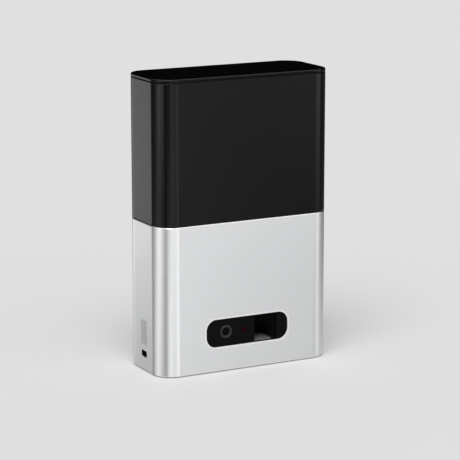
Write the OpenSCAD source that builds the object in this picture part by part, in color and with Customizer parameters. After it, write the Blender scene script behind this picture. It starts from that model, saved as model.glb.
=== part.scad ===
// Treat tossing pet camera, in millimetres.
// Origin: on the surface it stands on, under the middle of the body. The front faces -Y and +Z is up.
// Treats fall from the hopper through the metering drum into the launch tunnel, and the kicker throws
// them out of the front window.

/* [Body] */
// Width of the body
body_w = 175; // [170:1:200]
// Depth of the body
body_d = 73; // [73:0.5:90]
// Height of the body, feet and lid included
body_h = 270; // [256:1:300]
// Radius of the four upright corners
corner_r = 18.5; // [17.5:0.5:20]
// Height of the seam between the aluminium sleeve and the black upper shell
split_z = 138; // [138:1:150]
// Height of the feet under the sleeve
foot_proud = 1; // [0.8:0.1:2]

/* [Walls] */
// Wall of the aluminium sleeve
sleeve_wall = 2; // [1.6:0.1:2.2]
// Wall of the black upper shell
shell_wall = 2; // [1.6:0.1:2.2]
// Bright chamfer along the sleeve's edges
edge_chamfer = 0.5; // [0.3:0.1:0.8]
// Thickness of the base plate
base_t = 3.2; // [3:0.1:4]
// Thickness of the main frame's floor and upright
frame_t = 2.5; // [2:0.1:3]
// Wall of the dispenser housing
housing_wall = 2.5; // [2.2:0.1:3]
// Wall of the treat hopper
hopper_wall = 1.8; // [1.5:0.1:2.2]

/* [Lid] */
// Thickness of the lid plate, which is the band that shows round the top
lid_t = 2.6; // [2.4:0.1:4]
// Shadow gap between the lid and the upper shell
lid_gap = 0.8; // [0.3:0.1:1]
// Depth that the lid's skirt reaches into the hopper
skirt_h = 10; // [8:1:14]

/* [Front window] */
// Width of the window
window_w = 84; // [82:1:90]
// Height of the window
window_h = 26; // [25:0.5:28]
// Corner radius of the window
window_r = 10; // [8:0.5:12]
// Height of the window's centre
window_z = 36.3; // [36:0.5:42]
// Width of the polished bevel round the window
trim_w = 1.4; // [1:0.1:2]
// Distance of the lens from the window's centre, to the left
lens_x = 21.5; // [20:0.5:22]
// Radius of the lens barrel
lens_r = 6; // [5.5:0.1:6.5]
// Distance of the infrared window from the window's centre, to the left
infrared_x = 3.7; // [3.2:0.1:4.5]
// Radius of the infrared window
infrared_r = 2.8; // [2.4:0.1:3]

/* [Treat path] */
// Width of the launch tunnel and of the drop shaft
tunnel_w = 22.6; // [22:0.2:24]
// Distance of the launch tunnel's centre from the window's centre, to the right
tunnel_x = 18.8; // [18.6:0.1:20]
// Radius of the metering drum
drum_r = 16; // [14:0.5:16]
// Number of vanes of the metering drum
drum_vanes = 4; // [3:1:6]
// Thickness of the kicker paddle
paddle_t = 3; // [2.4:0.1:3.4]
// Running gap between moving pieces and the dispenser housing
running_gap = 0.6; // [0.5:0.05:0.8]
// Radius of the drum's and the kicker's shafts
shaft_r = 2.5; // [2:0.1:2.8]
// Radial clearance of the shafts in their bushes
bush_gap = 0.04; // [0.02:0.01:0.08]

/* [Gears] */
// Module of the gears
gear_module = 0.8; // [0.76:0.02:0.82]
// Teeth of the drum's and the kicker's gears
gear_teeth = 32; // [28:1:34]
// Teeth of the motor pinions
pinion_teeth = 16; // [14:1:18]
// Width of the gears
gear_t = 4; // [3:0.5:6]
// Radius of the motor cans
motor_r = 10; // [8:0.5:10]
// Length of the motor cans
motor_l = 24; // [20:1:26]

/* [Rear cover] */
// Width of the opening in the back of the sleeve
rear_w = 126; // [122:1:130]
// Height of the opening in the back of the sleeve
rear_h = 104; // [98:1:110]
// Distance between the two keyholes for wall screws
keyhole_pitch = 80; // [70:1:90]
// Radius of a keyhole's entry hole
keyhole_r = 4.2; // [3.8:0.1:4.6]
// Half width of a keyhole's slot
keyhole_slot_r = 2.2; // [1.8:0.1:2.4]

/* [Side wall] */
// Columns of speaker holes
grille_columns = 7; // [5:2:9]
// Holes in a column of the speaker grille
grille_rows = 13; // [9:1:14]
// Radius of a speaker hole
grille_hole_r = 0.6; // [0.5:0.05:0.65]
// Height of the speaker grille's centre
grille_z = 36; // [36:0.5:42]
// Height of the power socket
socket_z = 16.3; // [14:0.1:17]

/* [Fasteners] */
// Shank radius of the screws
screw_r = 1.25; // [1:0.05:1.4]
// Head radius of the screws
screw_head_r = 2.4; // [2.2:0.1:2.6]
// Height of the screw heads
screw_head_h = 1.4; // [1.2:0.1:1.5]

/* [Hidden] */
$fn = 48;
EPS = 0.01;             // overlap of a cutter past the face that it cuts
PRESSURE_ANGLE = 20;
ALUMINIUM = [0.80, 0.81, 0.83];
BLACK_SATIN = [0.10, 0.105, 0.11];
BLACK_GLOSS = [0.03, 0.03, 0.035];
BLACK_PLASTIC = [0.13, 0.13, 0.14];
GREY_PLASTIC = [0.42, 0.43, 0.44];
WHITE_PLASTIC = [0.86, 0.86, 0.84];
RUBBER = [0.07, 0.07, 0.07];
STEEL = [0.62, 0.63, 0.65];
BRASS = [0.72, 0.58, 0.30];
BOARD_GREEN = [0.08, 0.30, 0.18];
DARK_RED = [0.30, 0.02, 0.03];
DARK_GLASS = [0.05, 0.05, 0.07];

fit = 0.3;              // gap between separate pieces that slip together
press_gap = 0.02;       // gap round a piece that is pressed in
screw_gap = 0.05;       // gap round a screw's shank in its hole

// Outer planes of the body
front_y = -body_d / 2;
back_y = body_d / 2;
side_x = body_w / 2;
sleeve_in_y = back_y - sleeve_wall;

// Base and main frame
base_z0 = foot_proud;
base_z1 = base_z0 + base_t;
base_lip_t = 1.6;
base_lip_h = 4;
foot_w = 22;
foot_d = 9;
foot_r = 4;
foot_sink = 1;
foot_gap = 0.1;
foot_x = 58;
foot_y = 24;
frame_z0 = base_z1;
frame_floor_z = frame_z0 + frame_t;
frame_back_gap = 7.5;   // room behind the frame's upright, for the rear cover and wall screws
frame_back_y = sleeve_in_y - frame_back_gap;
frame_front_y = frame_back_y - frame_t;
frame_inset = sleeve_wall + fit + base_lip_t + 0.5;
frame_z1 = split_z - 4;
frame_side_x = side_x - corner_r + 10;
tenon_w = 14;           // tenons of the upright, in notches of the frame's floor
tenon_x = 62;
base_screw_x = 46;
base_screw_y = 12;
base_boss_r = 3.5;
base_boss_h = 8;

// Mid deck, on which the hopper stands
deck_z0 = frame_z1;
deck_t = 3;
deck_z1 = deck_z0 + deck_t;
deck_lip_t = 2;
deck_lip_h = 7;
deck_inset = max(sleeve_wall, shell_wall) + fit;
gasket_t = 1.4;
gasket_w = 2;

// Lid and hopper
shell_z1 = body_h - lid_t - lid_gap;
lid_z0 = body_h - lid_t;
hopper_inset = deck_inset + deck_lip_t + 0.4;
hopper_in_inset = hopper_inset + hopper_wall;
rim_h = 3;
rim_inset = shell_wall + fit;
skirt_wall = 1.8;
skirt_inset = hopper_in_inset + 0.6;
seal_h = 2.4;
seal_z = lid_z0 - 6;
seal_sink = 0.9;
funnel_h = 34;
funnel_t = 2.4;
throat_z0 = deck_z1 + gasket_t + fit;
throat_floor_z = throat_z0 + funnel_t;
throat_wall = 1.6;
throat_side = 1;        // how far the throat is narrower than the shaft below it, each side

// Front window, bezel and camera
bevel = 1;
bezel_lap = 3;
bezel_t = 2;
bezel_raise = 1.1;
bezel_gap = 0.35;
bezel_y0 = front_y + sleeve_wall;
bezel_y1 = bezel_y0 + bezel_t;
bezel_face_y = bezel_y0 - bezel_raise;
lens_pos_x = -lens_x;
infrared_pos_x = -infrared_x;
lens_z = window_z + 0.5;
lens_proud = 0.3;
lens_glass_r = lens_r * 0.62;
lens_seat = 1.6;
lens_barrel_l = 8;
camera_board_gap = 12;  // from the bezel's back to the camera board
camera_board_y0 = bezel_y1 + camera_board_gap;
camera_board_t = 1.4;
camera_board_w = 38;
camera_board_h = 25;
camera_board_x = lens_pos_x + 5;
camera_post_r = 2.6;
camera_post_x = camera_board_w / 2 - 3;
camera_post_z = camera_board_h / 2 - 3;

// Treat path
tunnel_pos_x = tunnel_x;
tunnel_x0 = tunnel_pos_x - tunnel_w / 2;
tunnel_x1 = tunnel_pos_x + tunnel_w / 2;
mouth_margin = 1.1;
tunnel_z0 = window_z - window_h / 2 + mouth_margin;
tunnel_z1 = window_z + window_h / 2 - mouth_margin;
chamber_r = drum_r + running_gap;
chamber_gap = 2.4;      // room between the drum's chamber and the frame's upright
drum_y = frame_front_y - chamber_gap - housing_wall - chamber_r;
drum_z = split_z - 26;
shaft_d = 25;
shaft_y0 = drum_y - shaft_d / 2;
shaft_y1 = drum_y + shaft_d / 2;
drum_disc_t = 1.2;
vane_t = 2;
drum_hub_r = 5;
kicker_y = drum_y + 6;
kicker_hub_r = shaft_r + 2.2;
kicker_z = tunnel_z0 + 31.6;
kicker_toe = 2.4;       // length of the lip at the paddle's tip
floor_t = 1;
paddle_tip_z = tunnel_z0 + floor_t + 0.8;
lip_l = 30;             // depth of the grey liner on the tunnel's floor
lip_w = 17;
lip_x = tunnel_x0 + 0.3 + lip_w / 2;

// Housing
housing_x0 = tunnel_x0 - housing_wall;
housing_x1 = tunnel_x1 + housing_wall;
housing_seam_x = tunnel_pos_x;
lug_r = 3.4;
lug_points = [
    [shaft_y0 - 5, tunnel_z1 + 18],
    [shaft_y0 - 5, drum_z - 24],
    [shaft_y1 + 4.2, kicker_z + 18],
    [shaft_y1 + 4.2, drum_z - 24],
    [front_y + 14, tunnel_z0 - 5.6],
    [shaft_y1 - 5, tunnel_z0 - 5.6]
];
foot_web_w = 8;
foot_web_x = 4.5;
lug_blind_t = 2;        // wall left at the end of a lug's screw hole
lug_end_gap = 2;        // room between a screw's tip and the end of its hole
sensor_t = 2.4;
sensor_w = 16;
sensor_h = 10;
sensor_in = 5;          // from the drop shaft's front wall to the sensor
sensor_rise = 16;       // from the kicker's shaft up to the sensor

// Gears and motors, outside the housing's right wall
pitch_r = gear_module * gear_teeth / 2;
pinion_pitch_r = gear_module * pinion_teeth / 2;
gear_distance = pitch_r + pinion_pitch_r + 0.08;
addendum = 0.9 * gear_module;
dedendum = 1.25 * gear_module;
bush_r = shaft_r + 1.5;
bush_flange = 0.6;
bush_flange_r = bush_r + 1;
gear_x0 = housing_x1 + bush_flange + 0.4;
gear_x1 = gear_x0 + gear_t;
motor_plate_x0 = gear_x1 + 1.4;
motor_plate_t = 1.5;
motor_plate_x1 = motor_plate_x0 + motor_plate_t;
motor_boss_r = 3.2;
motor_shaft_r = 1;
pillar_r = 3.2;
pillar_points = [
    [drum_y - 8.5, deck_z0 - 4],
    [drum_y + 10.5, deck_z0 - 4],
    [kicker_y - gear_distance - 10, tunnel_z1 - 8],
    [kicker_y + 3.5, kicker_z - 18.5]
];
pillar_blind_t = 0.6;
pillar_end_gap = 1.3;
plate_hole_r = motor_boss_r + 0.2;

// Electronics
board_t = 1.6;
standoff_l = 4;
main_board_w = 66;
main_board_h = 84;
main_board_x = -40;
main_board_z = 80;
main_board_y0 = frame_front_y - standoff_l - board_t;
board_hole_in = 4;
standoff_r = 3;
connector_w = 7;
connector_d = 5;
connector_h = 6;
connector_pitch = 10;
connector_in = 9;       // from the board's lower edge to the connectors
coil_r = 4;
coil_d = 7;
coil_pitch = 16;
coil_drop = 16;         // how far the coils sit below the board's middle
shield_w = 40;
shield_h = 32;
shield_d = 3;
shield_t = 0.4;
shield_sink = 2;        // how far the shield starts below the board's middle
antenna_w = 26;
antenna_h = 40;
antenna_t = 0.4;
antenna_in = 8.4;       // from the upright's side edge to the antenna
speaker_d = 18;
speaker_h = 30;
speaker_y = -0.8;
mesh_t = 0.4;
speaker_frame_t = 5;
speaker_box_l = 16;
shelf_t = 1.5;
shelf_web_d = 8;
shelf_z1 = grille_z - speaker_h / 2 - 0.2;
socket_y = -1;
socket_w = 8.94;
socket_h = 3.26;
socket_l = 7.4;
recess_w = 9.6;
recess_h = 5;
recess_wall = 0.5;
recess_depth = 4.9;
power_board_z1 = socket_z - socket_h / 2;

// Rear cover
rear_z = 70;
rear_r = 8;
rear_flange_lap = 3;
rear_flange_t = 1.6;
rear_gap = 0.25;
rear_in_y = sleeve_in_y - rear_flange_t;
rear_screw_x = rear_w / 2 - 7;
rear_screw_z = rear_h / 2 - 8;
rear_post_r = 4;
keyhole_z = rear_z + 26;
keyhole_rise = 8;
vent_count = 9;
vent_pitch = 5;
vent_w = 1.8;
vent_h = 24;
vent_rise = 22;         // from the rear cover's middle up to the vents
rear_blind_t = 4;       // thread left free in a rear post
button_x = 0;
button_z = rear_z - 38;
button_r = 2.6;
button_travel = 0.8;
button_flange_r = 3.6;
button_flange_t = 0.9;

// Grille
grille_row_pitch = 1.9;
grille_column_pitch = 1.75;
grille_y = -0.8;

// ---------- Shared shapes ----------

// A rectangle with round corners, centred on the origin.
module rounded_rect(w, d, r) {
    square([w - 2 * r, d], center = true);
    square([w, d - 2 * r], center = true);
    for (sx = [-1, 1], sy = [-1, 1])
        translate([sx * (w / 2 - r), sy * (d / 2 - r)])
            circle(r);
}

// Stands a flat shape up in the XZ plane and extrudes it from y0 to y1.
module along_y(y0, y1) {
    translate([0, y1, 0])
        rotate([90, 0, 0])
            linear_extrude(y1 - y0)
                children();
}

// Stands a flat shape up in the YZ plane and extrudes it from x0 to x1.
module along_x(x0, x1) {
    translate([x0, 0, 0])
        rotate([90, 0, 90])
            linear_extrude(x1 - x0)
                children();
}

// The body's outline, drawn in by inset, from z0 to z1.
module body_slab(inset, z0, z1) {
    translate([0, 0, z0])
        linear_extrude(z1 - z0)
            rounded_rect(body_w - 2 * inset, body_d - 2 * inset, corner_r - inset);
}

// A wall that follows the body's outline.
module body_wall(inset_out, inset_in, z0, z1) {
    difference() {
        body_slab(inset_out, z0, z1);
        body_slab(inset_in, z0 - 1, z1 + 1);
    }
}

// Sweeps a profile of [distance outwards, height] points round a rectangle with round corners.
module swept_ring(w, d, r, profile) {
    for (turn = [0, 1, 2, 3]) {
        out = turn % 2 == 0 ? w / 2 : d / 2;
        along = turn % 2 == 0 ? d / 2 : w / 2;
        rotate([0, 0, 90 * turn]) {
            translate([out, along - r, 0])
                rotate([90, 0, 0])
                    linear_extrude(2 * (along - r))
                        polygon(profile);
            translate([out - r, along - r, 0])
                rotate_extrude(angle = 90)
                    translate([r, 0])
                        polygon(profile);
        }
    }
}

// A screw that points down -Z, with its head's underside at the origin and a hexagon socket.
module screw(length, r = screw_r, head_r = screw_head_r, head_h = screw_head_h) {
    difference() {
        union() {
            cylinder(h = head_h, r = head_r);
            translate([0, 0, -length])
                cylinder(h = length + EPS, r = r);
        }
        translate([0, 0, head_h * 0.45])
            cylinder(h = head_h, r = head_r * 0.5, $fn = 6);
    }
}

// Degrees of the involute function at radius r on base radius rb.
function involute(rb, r) = r <= rb ? 0 : let (t = acos(rb / r)) tan(t) * 180 / PI - t;

// Half the angle of a tooth at radius r.
function half_tooth(rp, rb, r, teeth, slack) =
    90 / teeth + involute(rb, rp) - involute(rb, r) - slack;

// Outline of an involute gear with a tooth on the +X axis.
function gear_points(teeth) =
    let (
        rp = gear_module * teeth / 2,
        rb = rp * cos(PRESSURE_ANGLE),
        root = rp - dedendum,
        tip = rp + addendum,
        slack = 0.06 * gear_module / rp * 180 / PI,
        start = max(rb, root + 0.05),
        steps = 3,
        flank = [for (i = [0:steps]) start + (tip - start) * i / steps],
        radii = concat([root], flank)
    )
    [for (k = [0:teeth - 1], side = [-1, 1], i = [0:len(radii) - 1])
        let (
            r = side < 0 ? radii[i] : radii[len(radii) - 1 - i],
            a = k * 360 / teeth + side * half_tooth(rp, rb, max(r, start), teeth, slack)
        )
        [r * cos(a), r * sin(a)]];

// A spur gear from x0 to x1 on an axis along X, bored for its shaft. The phase turns its first tooth.
module spur_gear(teeth, x0, x1, y, z, bore, phase) {
    translate([x0, y, z])
        rotate([90, 0, 90])
            difference() {
                linear_extrude(x1 - x0)
                    rotate(phase)
                        polygon(gear_points(teeth));
                translate([0, 0, -1])
                    cylinder(h = x1 - x0 + 2, r = bore);
            }
}

// A cylinder along X from x0 to x1.
module rod_x(x0, x1, y, z, r) {
    translate([x0, y, z])
        rotate([0, 90, 0])
            cylinder(h = x1 - x0, r = r);
}

// A cylinder along Y from y0 to y1.
module rod_y(x, y0, y1, z, r) {
    translate([x, y0, z])
        rotate([-90, 0, 0])
            cylinder(h = y1 - y0, r = r);
}

// A solid between two level rectangles, each given as [x0, x1, y0, y1, z].
module frustum(low, high) {
    polyhedron(
        points = [
            [low[0], low[2], low[4]], [low[1], low[2], low[4]],
            [low[1], low[3], low[4]], [low[0], low[3], low[4]],
            [high[0], high[2], high[4]], [high[1], high[2], high[4]],
            [high[1], high[3], high[4]], [high[0], high[3], high[4]]
        ],
        faces = [[0, 1, 2, 3], [7, 6, 5, 4], [0, 4, 5, 1], [1, 5, 6, 2], [2, 6, 7, 3], [3, 7, 4, 0]]
    );
}

// ---------- Casing ----------

// The window's outline, grown by extra.
module window_outline(extra) {
    translate([0, window_z])
        rounded_rect(window_w + 2 * extra, window_h + 2 * extra, window_r + extra);
}

// The outline of the power socket's recess, grown by extra.
module recess_outline(extra) {
    translate([socket_y, socket_z])
        rounded_rect(recess_w + 2 * extra, recess_h + 2 * extra, 1.4 + extra);
}

// The outline of the opening for the rear cover, grown by extra.
module rear_outline(extra) {
    translate([0, rear_z])
        rounded_rect(rear_w + 2 * extra, rear_h + 2 * extra, rear_r + extra);
}

// Staggered centres of the speaker holes, as [y, z].
function grille_points() = [
    for (c = [0:grille_columns - 1], r = [0:grille_rows - 1])
        if (c % 2 == 0 || r < grille_rows - 1)
            [grille_y + (c - (grille_columns - 1) / 2) * grille_column_pitch,
             grille_z + (r - (grille_rows - 1) / 2 + (c % 2) / 2) * grille_row_pitch]
];

module lower_sleeve() {
    z0 = base_z0;
    z1 = split_z;
    c = edge_chamfer;
    color(ALUMINIUM)
        difference() {
            swept_ring(body_w, body_d, corner_r, [
                [-sleeve_wall, z0], [-c, z0], [0, z0 + c],
                [0, z1 - c], [-c, z1], [-sleeve_wall, z1]
            ]);
            along_y(front_y - 1, bezel_y0 + 1)
                window_outline(trim_w + press_gap);
            along_y(sleeve_in_y - 1, back_y + 1)
                rear_outline(0);
            along_x(-side_x - 1, -side_x + sleeve_wall + 1)
                recess_outline(recess_wall + 0.1);
            for (p = grille_points())
                rod_x(-side_x - 1, -side_x + sleeve_wall + 1, p[0], p[1], grille_hole_r);
        }
}

module window_trim() {
    color([0.93, 0.94, 0.95])
        translate([0, front_y, window_z])
            rotate([-90, 0, 0])
                swept_ring(window_w, window_h, window_r, [
                    [0, bevel], [trim_w, 0], [trim_w, sleeve_wall], [0, sleeve_wall]
                ]);
}

module upper_shell() {
    color(BLACK_SATIN)
        body_wall(0, shell_wall, split_z, shell_z1);
}

// Centres of the four feet or base screws.
module at_four(x, y) {
    for (sx = [-1, 1], sy = [-1, 1])
        translate([sx * x, sy * y, 0])
            children();
}

module base_plate() {
    lip_inset = sleeve_wall + fit;
    color(BLACK_PLASTIC)
        difference() {
            union() {
                body_slab(lip_inset, base_z0, base_z1);
                body_wall(lip_inset, lip_inset + base_lip_t, base_z0, base_z1 + base_lip_h);
            }
            at_four(foot_x, foot_y)
                translate([0, 0, base_z0 - 1])
                    linear_extrude(foot_sink + 1)
                        rounded_rect(foot_w + 2 * foot_gap, foot_d + 2 * foot_gap, foot_r + foot_gap);
            at_four(base_screw_x, base_screw_y)
                translate([0, 0, base_z0 - 1]) {
                    cylinder(h = base_t + 2, r = screw_r + 0.2);
                    cylinder(h = screw_head_h + 1.1, r = screw_head_r + 0.2);
                }
        }
}

module rubber_feet() {
    color(RUBBER)
        at_four(foot_x, foot_y)
            linear_extrude(foot_proud + foot_sink)
                rounded_rect(foot_w, foot_d, foot_r);
}

module base_screws() {
    color(STEEL)
        at_four(base_screw_x, base_screw_y)
            translate([0, 0, base_z0 + screw_head_h + 0.1])
                mirror([0, 0, 1])
                    screw(base_t + base_boss_h - screw_head_h - 1);
}

module rear_cover() {
    color(BLACK_PLASTIC)
        difference() {
            union() {
                along_y(rear_in_y, back_y)
                    rear_outline(-rear_gap);
                along_y(rear_in_y, sleeve_in_y)
                    rear_outline(rear_flange_lap);
            }
            for (sx = [-1, 1]) {
                rod_y(sx * keyhole_pitch / 2, rear_in_y - 1, back_y + 1, keyhole_z, keyhole_r);
                rod_y(sx * keyhole_pitch / 2, rear_in_y - 1, back_y + 1, keyhole_z + keyhole_rise,
                    keyhole_slot_r);
                along_y(rear_in_y - 1, back_y + 1)
                    translate([sx * keyhole_pitch / 2, keyhole_z + keyhole_rise / 2])
                        square([2 * keyhole_slot_r, keyhole_rise], center = true);
                for (sz = [-1, 1]) {
                    rod_y(sx * rear_screw_x, rear_in_y - 1, back_y + 1, rear_z + sz * rear_screw_z,
                        screw_r + 0.2);
                    rod_y(sx * rear_screw_x, back_y - screw_head_h - 0.2, back_y + 1,
                        rear_z + sz * rear_screw_z, screw_head_r + 0.2);
                }
            }
            for (i = [0:vent_count - 1])
                along_y(rear_in_y - 1, back_y + 1)
                    translate([(i - (vent_count - 1) / 2) * vent_pitch, rear_z + vent_rise])
                        rounded_rect(vent_w, vent_h, vent_w / 2 - EPS);
            rod_y(button_x, rear_in_y - 1, back_y + 1, button_z, button_r + 0.15);
        }
}

module rear_screws() {
    color(STEEL)
        for (sx = [-1, 1], sz = [-1, 1])
            translate([sx * rear_screw_x, back_y - screw_head_h - 0.2, rear_z + sz * rear_screw_z])
                rotate([-90, 0, 0])
                    screw(rear_flange_t + sleeve_wall + frame_back_gap - rear_blind_t);
}

module reset_button() {
    color(GREY_PLASTIC) {
        rod_y(button_x, rear_in_y - button_flange_t - 0.1, back_y - 0.4, button_z, button_r);
        rod_y(button_x, rear_in_y - button_flange_t - 0.1, rear_in_y - 0.1, button_z, button_flange_r);
    }
}

module reset_switch() {
    tip_y = rear_in_y - button_flange_t - 0.15 - button_travel;
    body_y = tip_y - 0.7;
    color(STEEL) {
        translate([button_x - 3, frame_back_y, button_z - 3])
            cube([6, body_y - frame_back_y, 6]);
        rod_y(button_x, body_y - EPS, tip_y, button_z, 1.4);
    }
}

// ---------- Frame and deck ----------

// The three tenons at the upright's foot, grown by extra for their notches.
module frame_tenons(extra) {
    for (x = [-tenon_x, 0, tenon_x])
        translate([x - tenon_w / 2 - extra, frame_front_y, frame_z0 - extra])
            cube([tenon_w + 2 * extra, frame_t + extra, frame_t + 2 * extra + EPS]);
}

// The upright that carries the boards, the rear cover and the speaker.
module main_frame() {
    color(BLACK_PLASTIC)
        difference() {
            union() {
                translate([-frame_side_x, frame_front_y, frame_floor_z])
                    cube([2 * frame_side_x, frame_t, frame_z1 - frame_floor_z]);
                frame_tenons(0);
                for (sx = [-1, 1], sz = [-1, 1])
                    rod_y(sx * rear_screw_x, frame_back_y - EPS, rear_in_y,
                        rear_z + sz * rear_screw_z, rear_post_r);
                for (sx = [-1, 1], sz = [-1, 1])
                    rod_y(main_board_x + sx * (main_board_w / 2 - board_hole_in),
                        frame_front_y - standoff_l, frame_front_y + EPS,
                        main_board_z + sz * (main_board_h / 2 - board_hole_in), standoff_r);
                speaker_shelf();
            }
            for (sx = [-1, 1], sz = [-1, 1])
                rod_y(sx * rear_screw_x, frame_front_y - 1, rear_in_y + 1,
                    rear_z + sz * rear_screw_z, screw_r + screw_gap);
            for (sx = [-1, 1], sz = [-1, 1])
                rod_y(main_board_x + sx * (main_board_w / 2 - board_hole_in),
                    frame_front_y - standoff_l - 1, frame_front_y,
                    main_board_z + sz * (main_board_h / 2 - board_hole_in), screw_r + screw_gap);
        }
}

// The floor that the upright, the dispenser and the power board stand on.
module frame_floor() {
    color(BLACK_PLASTIC)
        difference() {
            union() {
                intersection() {
                    body_slab(frame_inset, frame_z0, frame_floor_z);
                    translate([-body_w, -body_d, frame_z0])
                        cube([2 * body_w, body_d + frame_back_y, frame_t]);
                }
                at_four(base_screw_x, base_screw_y)
                    translate([0, 0, frame_z0])
                        cylinder(h = base_boss_h, r = base_boss_r);
                power_ribs();
            }
            at_four(base_screw_x, base_screw_y)
                translate([0, 0, frame_z0 - 1])
                    cylinder(h = base_boss_h + 2, r = screw_r + screw_gap);
            frame_tenons(press_gap);
        }
}

// The shelf under the speaker box, with its web down to the floor.
module speaker_shelf() {
    x0 = -side_x + sleeve_wall + mesh_t + speaker_frame_t;
    translate([x0, speaker_y - speaker_d / 2, shelf_z1 - shelf_t])
        cube([speaker_box_l, frame_front_y - speaker_y + speaker_d / 2 + EPS, shelf_t]);
    translate([x0, frame_front_y - shelf_web_d, frame_floor_z])
        cube([speaker_box_l, shelf_web_d + EPS, shelf_z1 - shelf_t - frame_floor_z + EPS]);
}

// Two ribs that carry the power board.
module power_ribs() {
    for (dx = [0, 11])
        translate([-side_x + sleeve_wall + 5.4 + dx, socket_y - 6, frame_z0])
            cube([2, 12, power_board_z1 - board_t - frame_z0]);
}

module mid_deck() {
    color(BLACK_PLASTIC)
        difference() {
            union() {
                body_slab(deck_inset, deck_z0, deck_z1);
                body_wall(deck_inset, deck_inset + deck_lip_t, deck_z0, deck_z1 + deck_lip_h);
            }
            translate([tunnel_x0, shaft_y0, deck_z0 - 1])
                cube([tunnel_w, shaft_y1 - shaft_y0, deck_t + 2]);
        }
}

module throat_gasket() {
    color(RUBBER)
        difference() {
            translate([tunnel_x0 - gasket_w, shaft_y0 - gasket_w, deck_z1])
                cube([tunnel_w + 2 * gasket_w, shaft_y1 - shaft_y0 + 2 * gasket_w, gasket_t]);
            translate([tunnel_x0, shaft_y0, deck_z1 - 1])
                cube([tunnel_w, shaft_y1 - shaft_y0, gasket_t + 2]);
        }
}

// ---------- Hopper and lid ----------

module treat_hopper() {
    throat = [tunnel_x0 + throat_side, tunnel_x1 - throat_side,
        shaft_y0 + throat_side, shaft_y1 - throat_side];
    in_x = side_x - hopper_in_inset;
    in_y = back_y - hopper_in_inset;
    top_z = throat_floor_z + funnel_h;
    color(BLACK_PLASTIC)
        difference() {
            union() {
                body_wall(hopper_inset, hopper_in_inset, deck_z1, lid_z0);
                body_wall(rim_inset, hopper_in_inset, lid_z0 - rim_h, lid_z0);
                difference() {
                    intersection() {
                        body_slab(hopper_inset + 0.5, throat_z0 - 1, top_z);
                        union() {
                            frustum(
                                [throat[0], throat[1], throat[2], throat[3], throat_z0],
                                [-in_x, in_x, -in_y, in_y, top_z - funnel_t]
                            );
                            translate([-in_x, -in_y, top_z - funnel_t - EPS])
                                cube([2 * in_x, 2 * in_y, funnel_t + EPS]);
                            translate([throat[0] - throat_wall, throat[2] - throat_wall, throat_z0])
                                cube([throat[1] - throat[0] + 2 * throat_wall,
                                    throat[3] - throat[2] + 2 * throat_wall, funnel_t + 2]);
                        }
                    }
                    frustum(
                        [throat[0], throat[1], throat[2], throat[3], throat_floor_z],
                        [-in_x, in_x, -in_y, in_y, top_z + EPS]
                    );
                }
            }
            translate([throat[0], throat[2], throat_z0 - 2])
                cube([throat[1] - throat[0], throat[3] - throat[2], funnel_t + 4]);
        }
}

module lid_plate() {
    c = 0.4;
    color(BLACK_GLOSS)
        union() {
            body_slab(1, lid_z0, body_h);
            swept_ring(body_w, body_d, corner_r, [
                [-2, lid_z0], [-c, lid_z0], [0, lid_z0 + c],
                [0, body_h - c], [-c, body_h], [-2, body_h]
            ]);
        }
}

module lid_skirt() {
    color(BLACK_PLASTIC)
        difference() {
            body_wall(skirt_inset, skirt_inset + skirt_wall, lid_z0 - skirt_h, lid_z0);
            body_wall(skirt_inset - 1, skirt_inset + seal_sink, seal_z - seal_h / 2, seal_z + seal_h / 2);
        }
}

module lid_seal() {
    color(RUBBER)
        body_wall(hopper_in_inset + fit, skirt_inset + seal_sink, seal_z - seal_h / 2, seal_z + seal_h / 2);
}

// ---------- Camera behind the window ----------

module camera_bezel() {
    color(BLACK_GLOSS)
        difference() {
            union() {
                along_y(bezel_y0, bezel_y1)
                    window_outline(bezel_lap);
                along_y(bezel_face_y, bezel_y0 + EPS)
                    window_outline(-bezel_gap);
                for (s = [-1, 1])
                    rod_y(camera_board_x + s * camera_post_x, bezel_y1 - EPS, camera_board_y0,
                        lens_z + s * camera_post_z, camera_post_r);
            }
            for (s = [-1, 1])
                rod_y(camera_board_x + s * camera_post_x, bezel_y1 + 1, camera_board_y0 + 1,
                    lens_z + s * camera_post_z, screw_r + screw_gap);
            rod_y(lens_pos_x, bezel_face_y - 1, bezel_y1 + 1, lens_z, lens_r + 0.15);
            rod_y(infrared_pos_x, bezel_face_y - 1, bezel_y1 + 1, lens_z, infrared_r - 0.5);
            rod_y(infrared_pos_x, bezel_face_y - 1, bezel_y0, lens_z, infrared_r + press_gap);
            rod_y(lens_pos_x - 13, bezel_face_y - 1, bezel_y1 + 1, lens_z, 0.5);
            along_y(bezel_face_y - 1, bezel_y1 + 1)
                translate([tunnel_x0, tunnel_z0])
                    square([tunnel_w, tunnel_z1 - tunnel_z0]);
        }
}

module lens_barrel() {
    y0 = bezel_face_y - lens_proud;
    seat_r = lens_glass_r + 0.05;
    color([0.09, 0.09, 0.10])
        translate([lens_pos_x, y0, lens_z])
            rotate([-90, 0, 0])
                rotate_extrude()
                    polygon([
                        [lens_r - 0.4, 0], [lens_r, 0.4], [lens_r, lens_barrel_l],
                        [seat_r - 1, lens_barrel_l], [seat_r - 1, lens_seat + 3],
                        [seat_r, lens_seat + 3], [seat_r, lens_seat], [lens_r - 0.9, 0]
                    ]);
}

module lens_glass() {
    dome = 1;
    ball_r = (lens_glass_r * lens_glass_r + dome * dome) / (2 * dome);
    rim_angle = asin(lens_glass_r / ball_r);
    steps = 8;
    color(DARK_GLASS)
        translate([lens_pos_x, bezel_face_y - lens_proud + lens_seat - dome, lens_z])
            rotate([-90, 0, 0])
                rotate_extrude()
                    polygon(concat(
                        [for (i = [0:steps])
                            let (a = rim_angle * i / steps)
                            [ball_r * sin(a), ball_r * (1 - cos(a))]],
                        [[lens_glass_r, dome + 3], [0, dome + 3]]
                    ));
}

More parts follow.
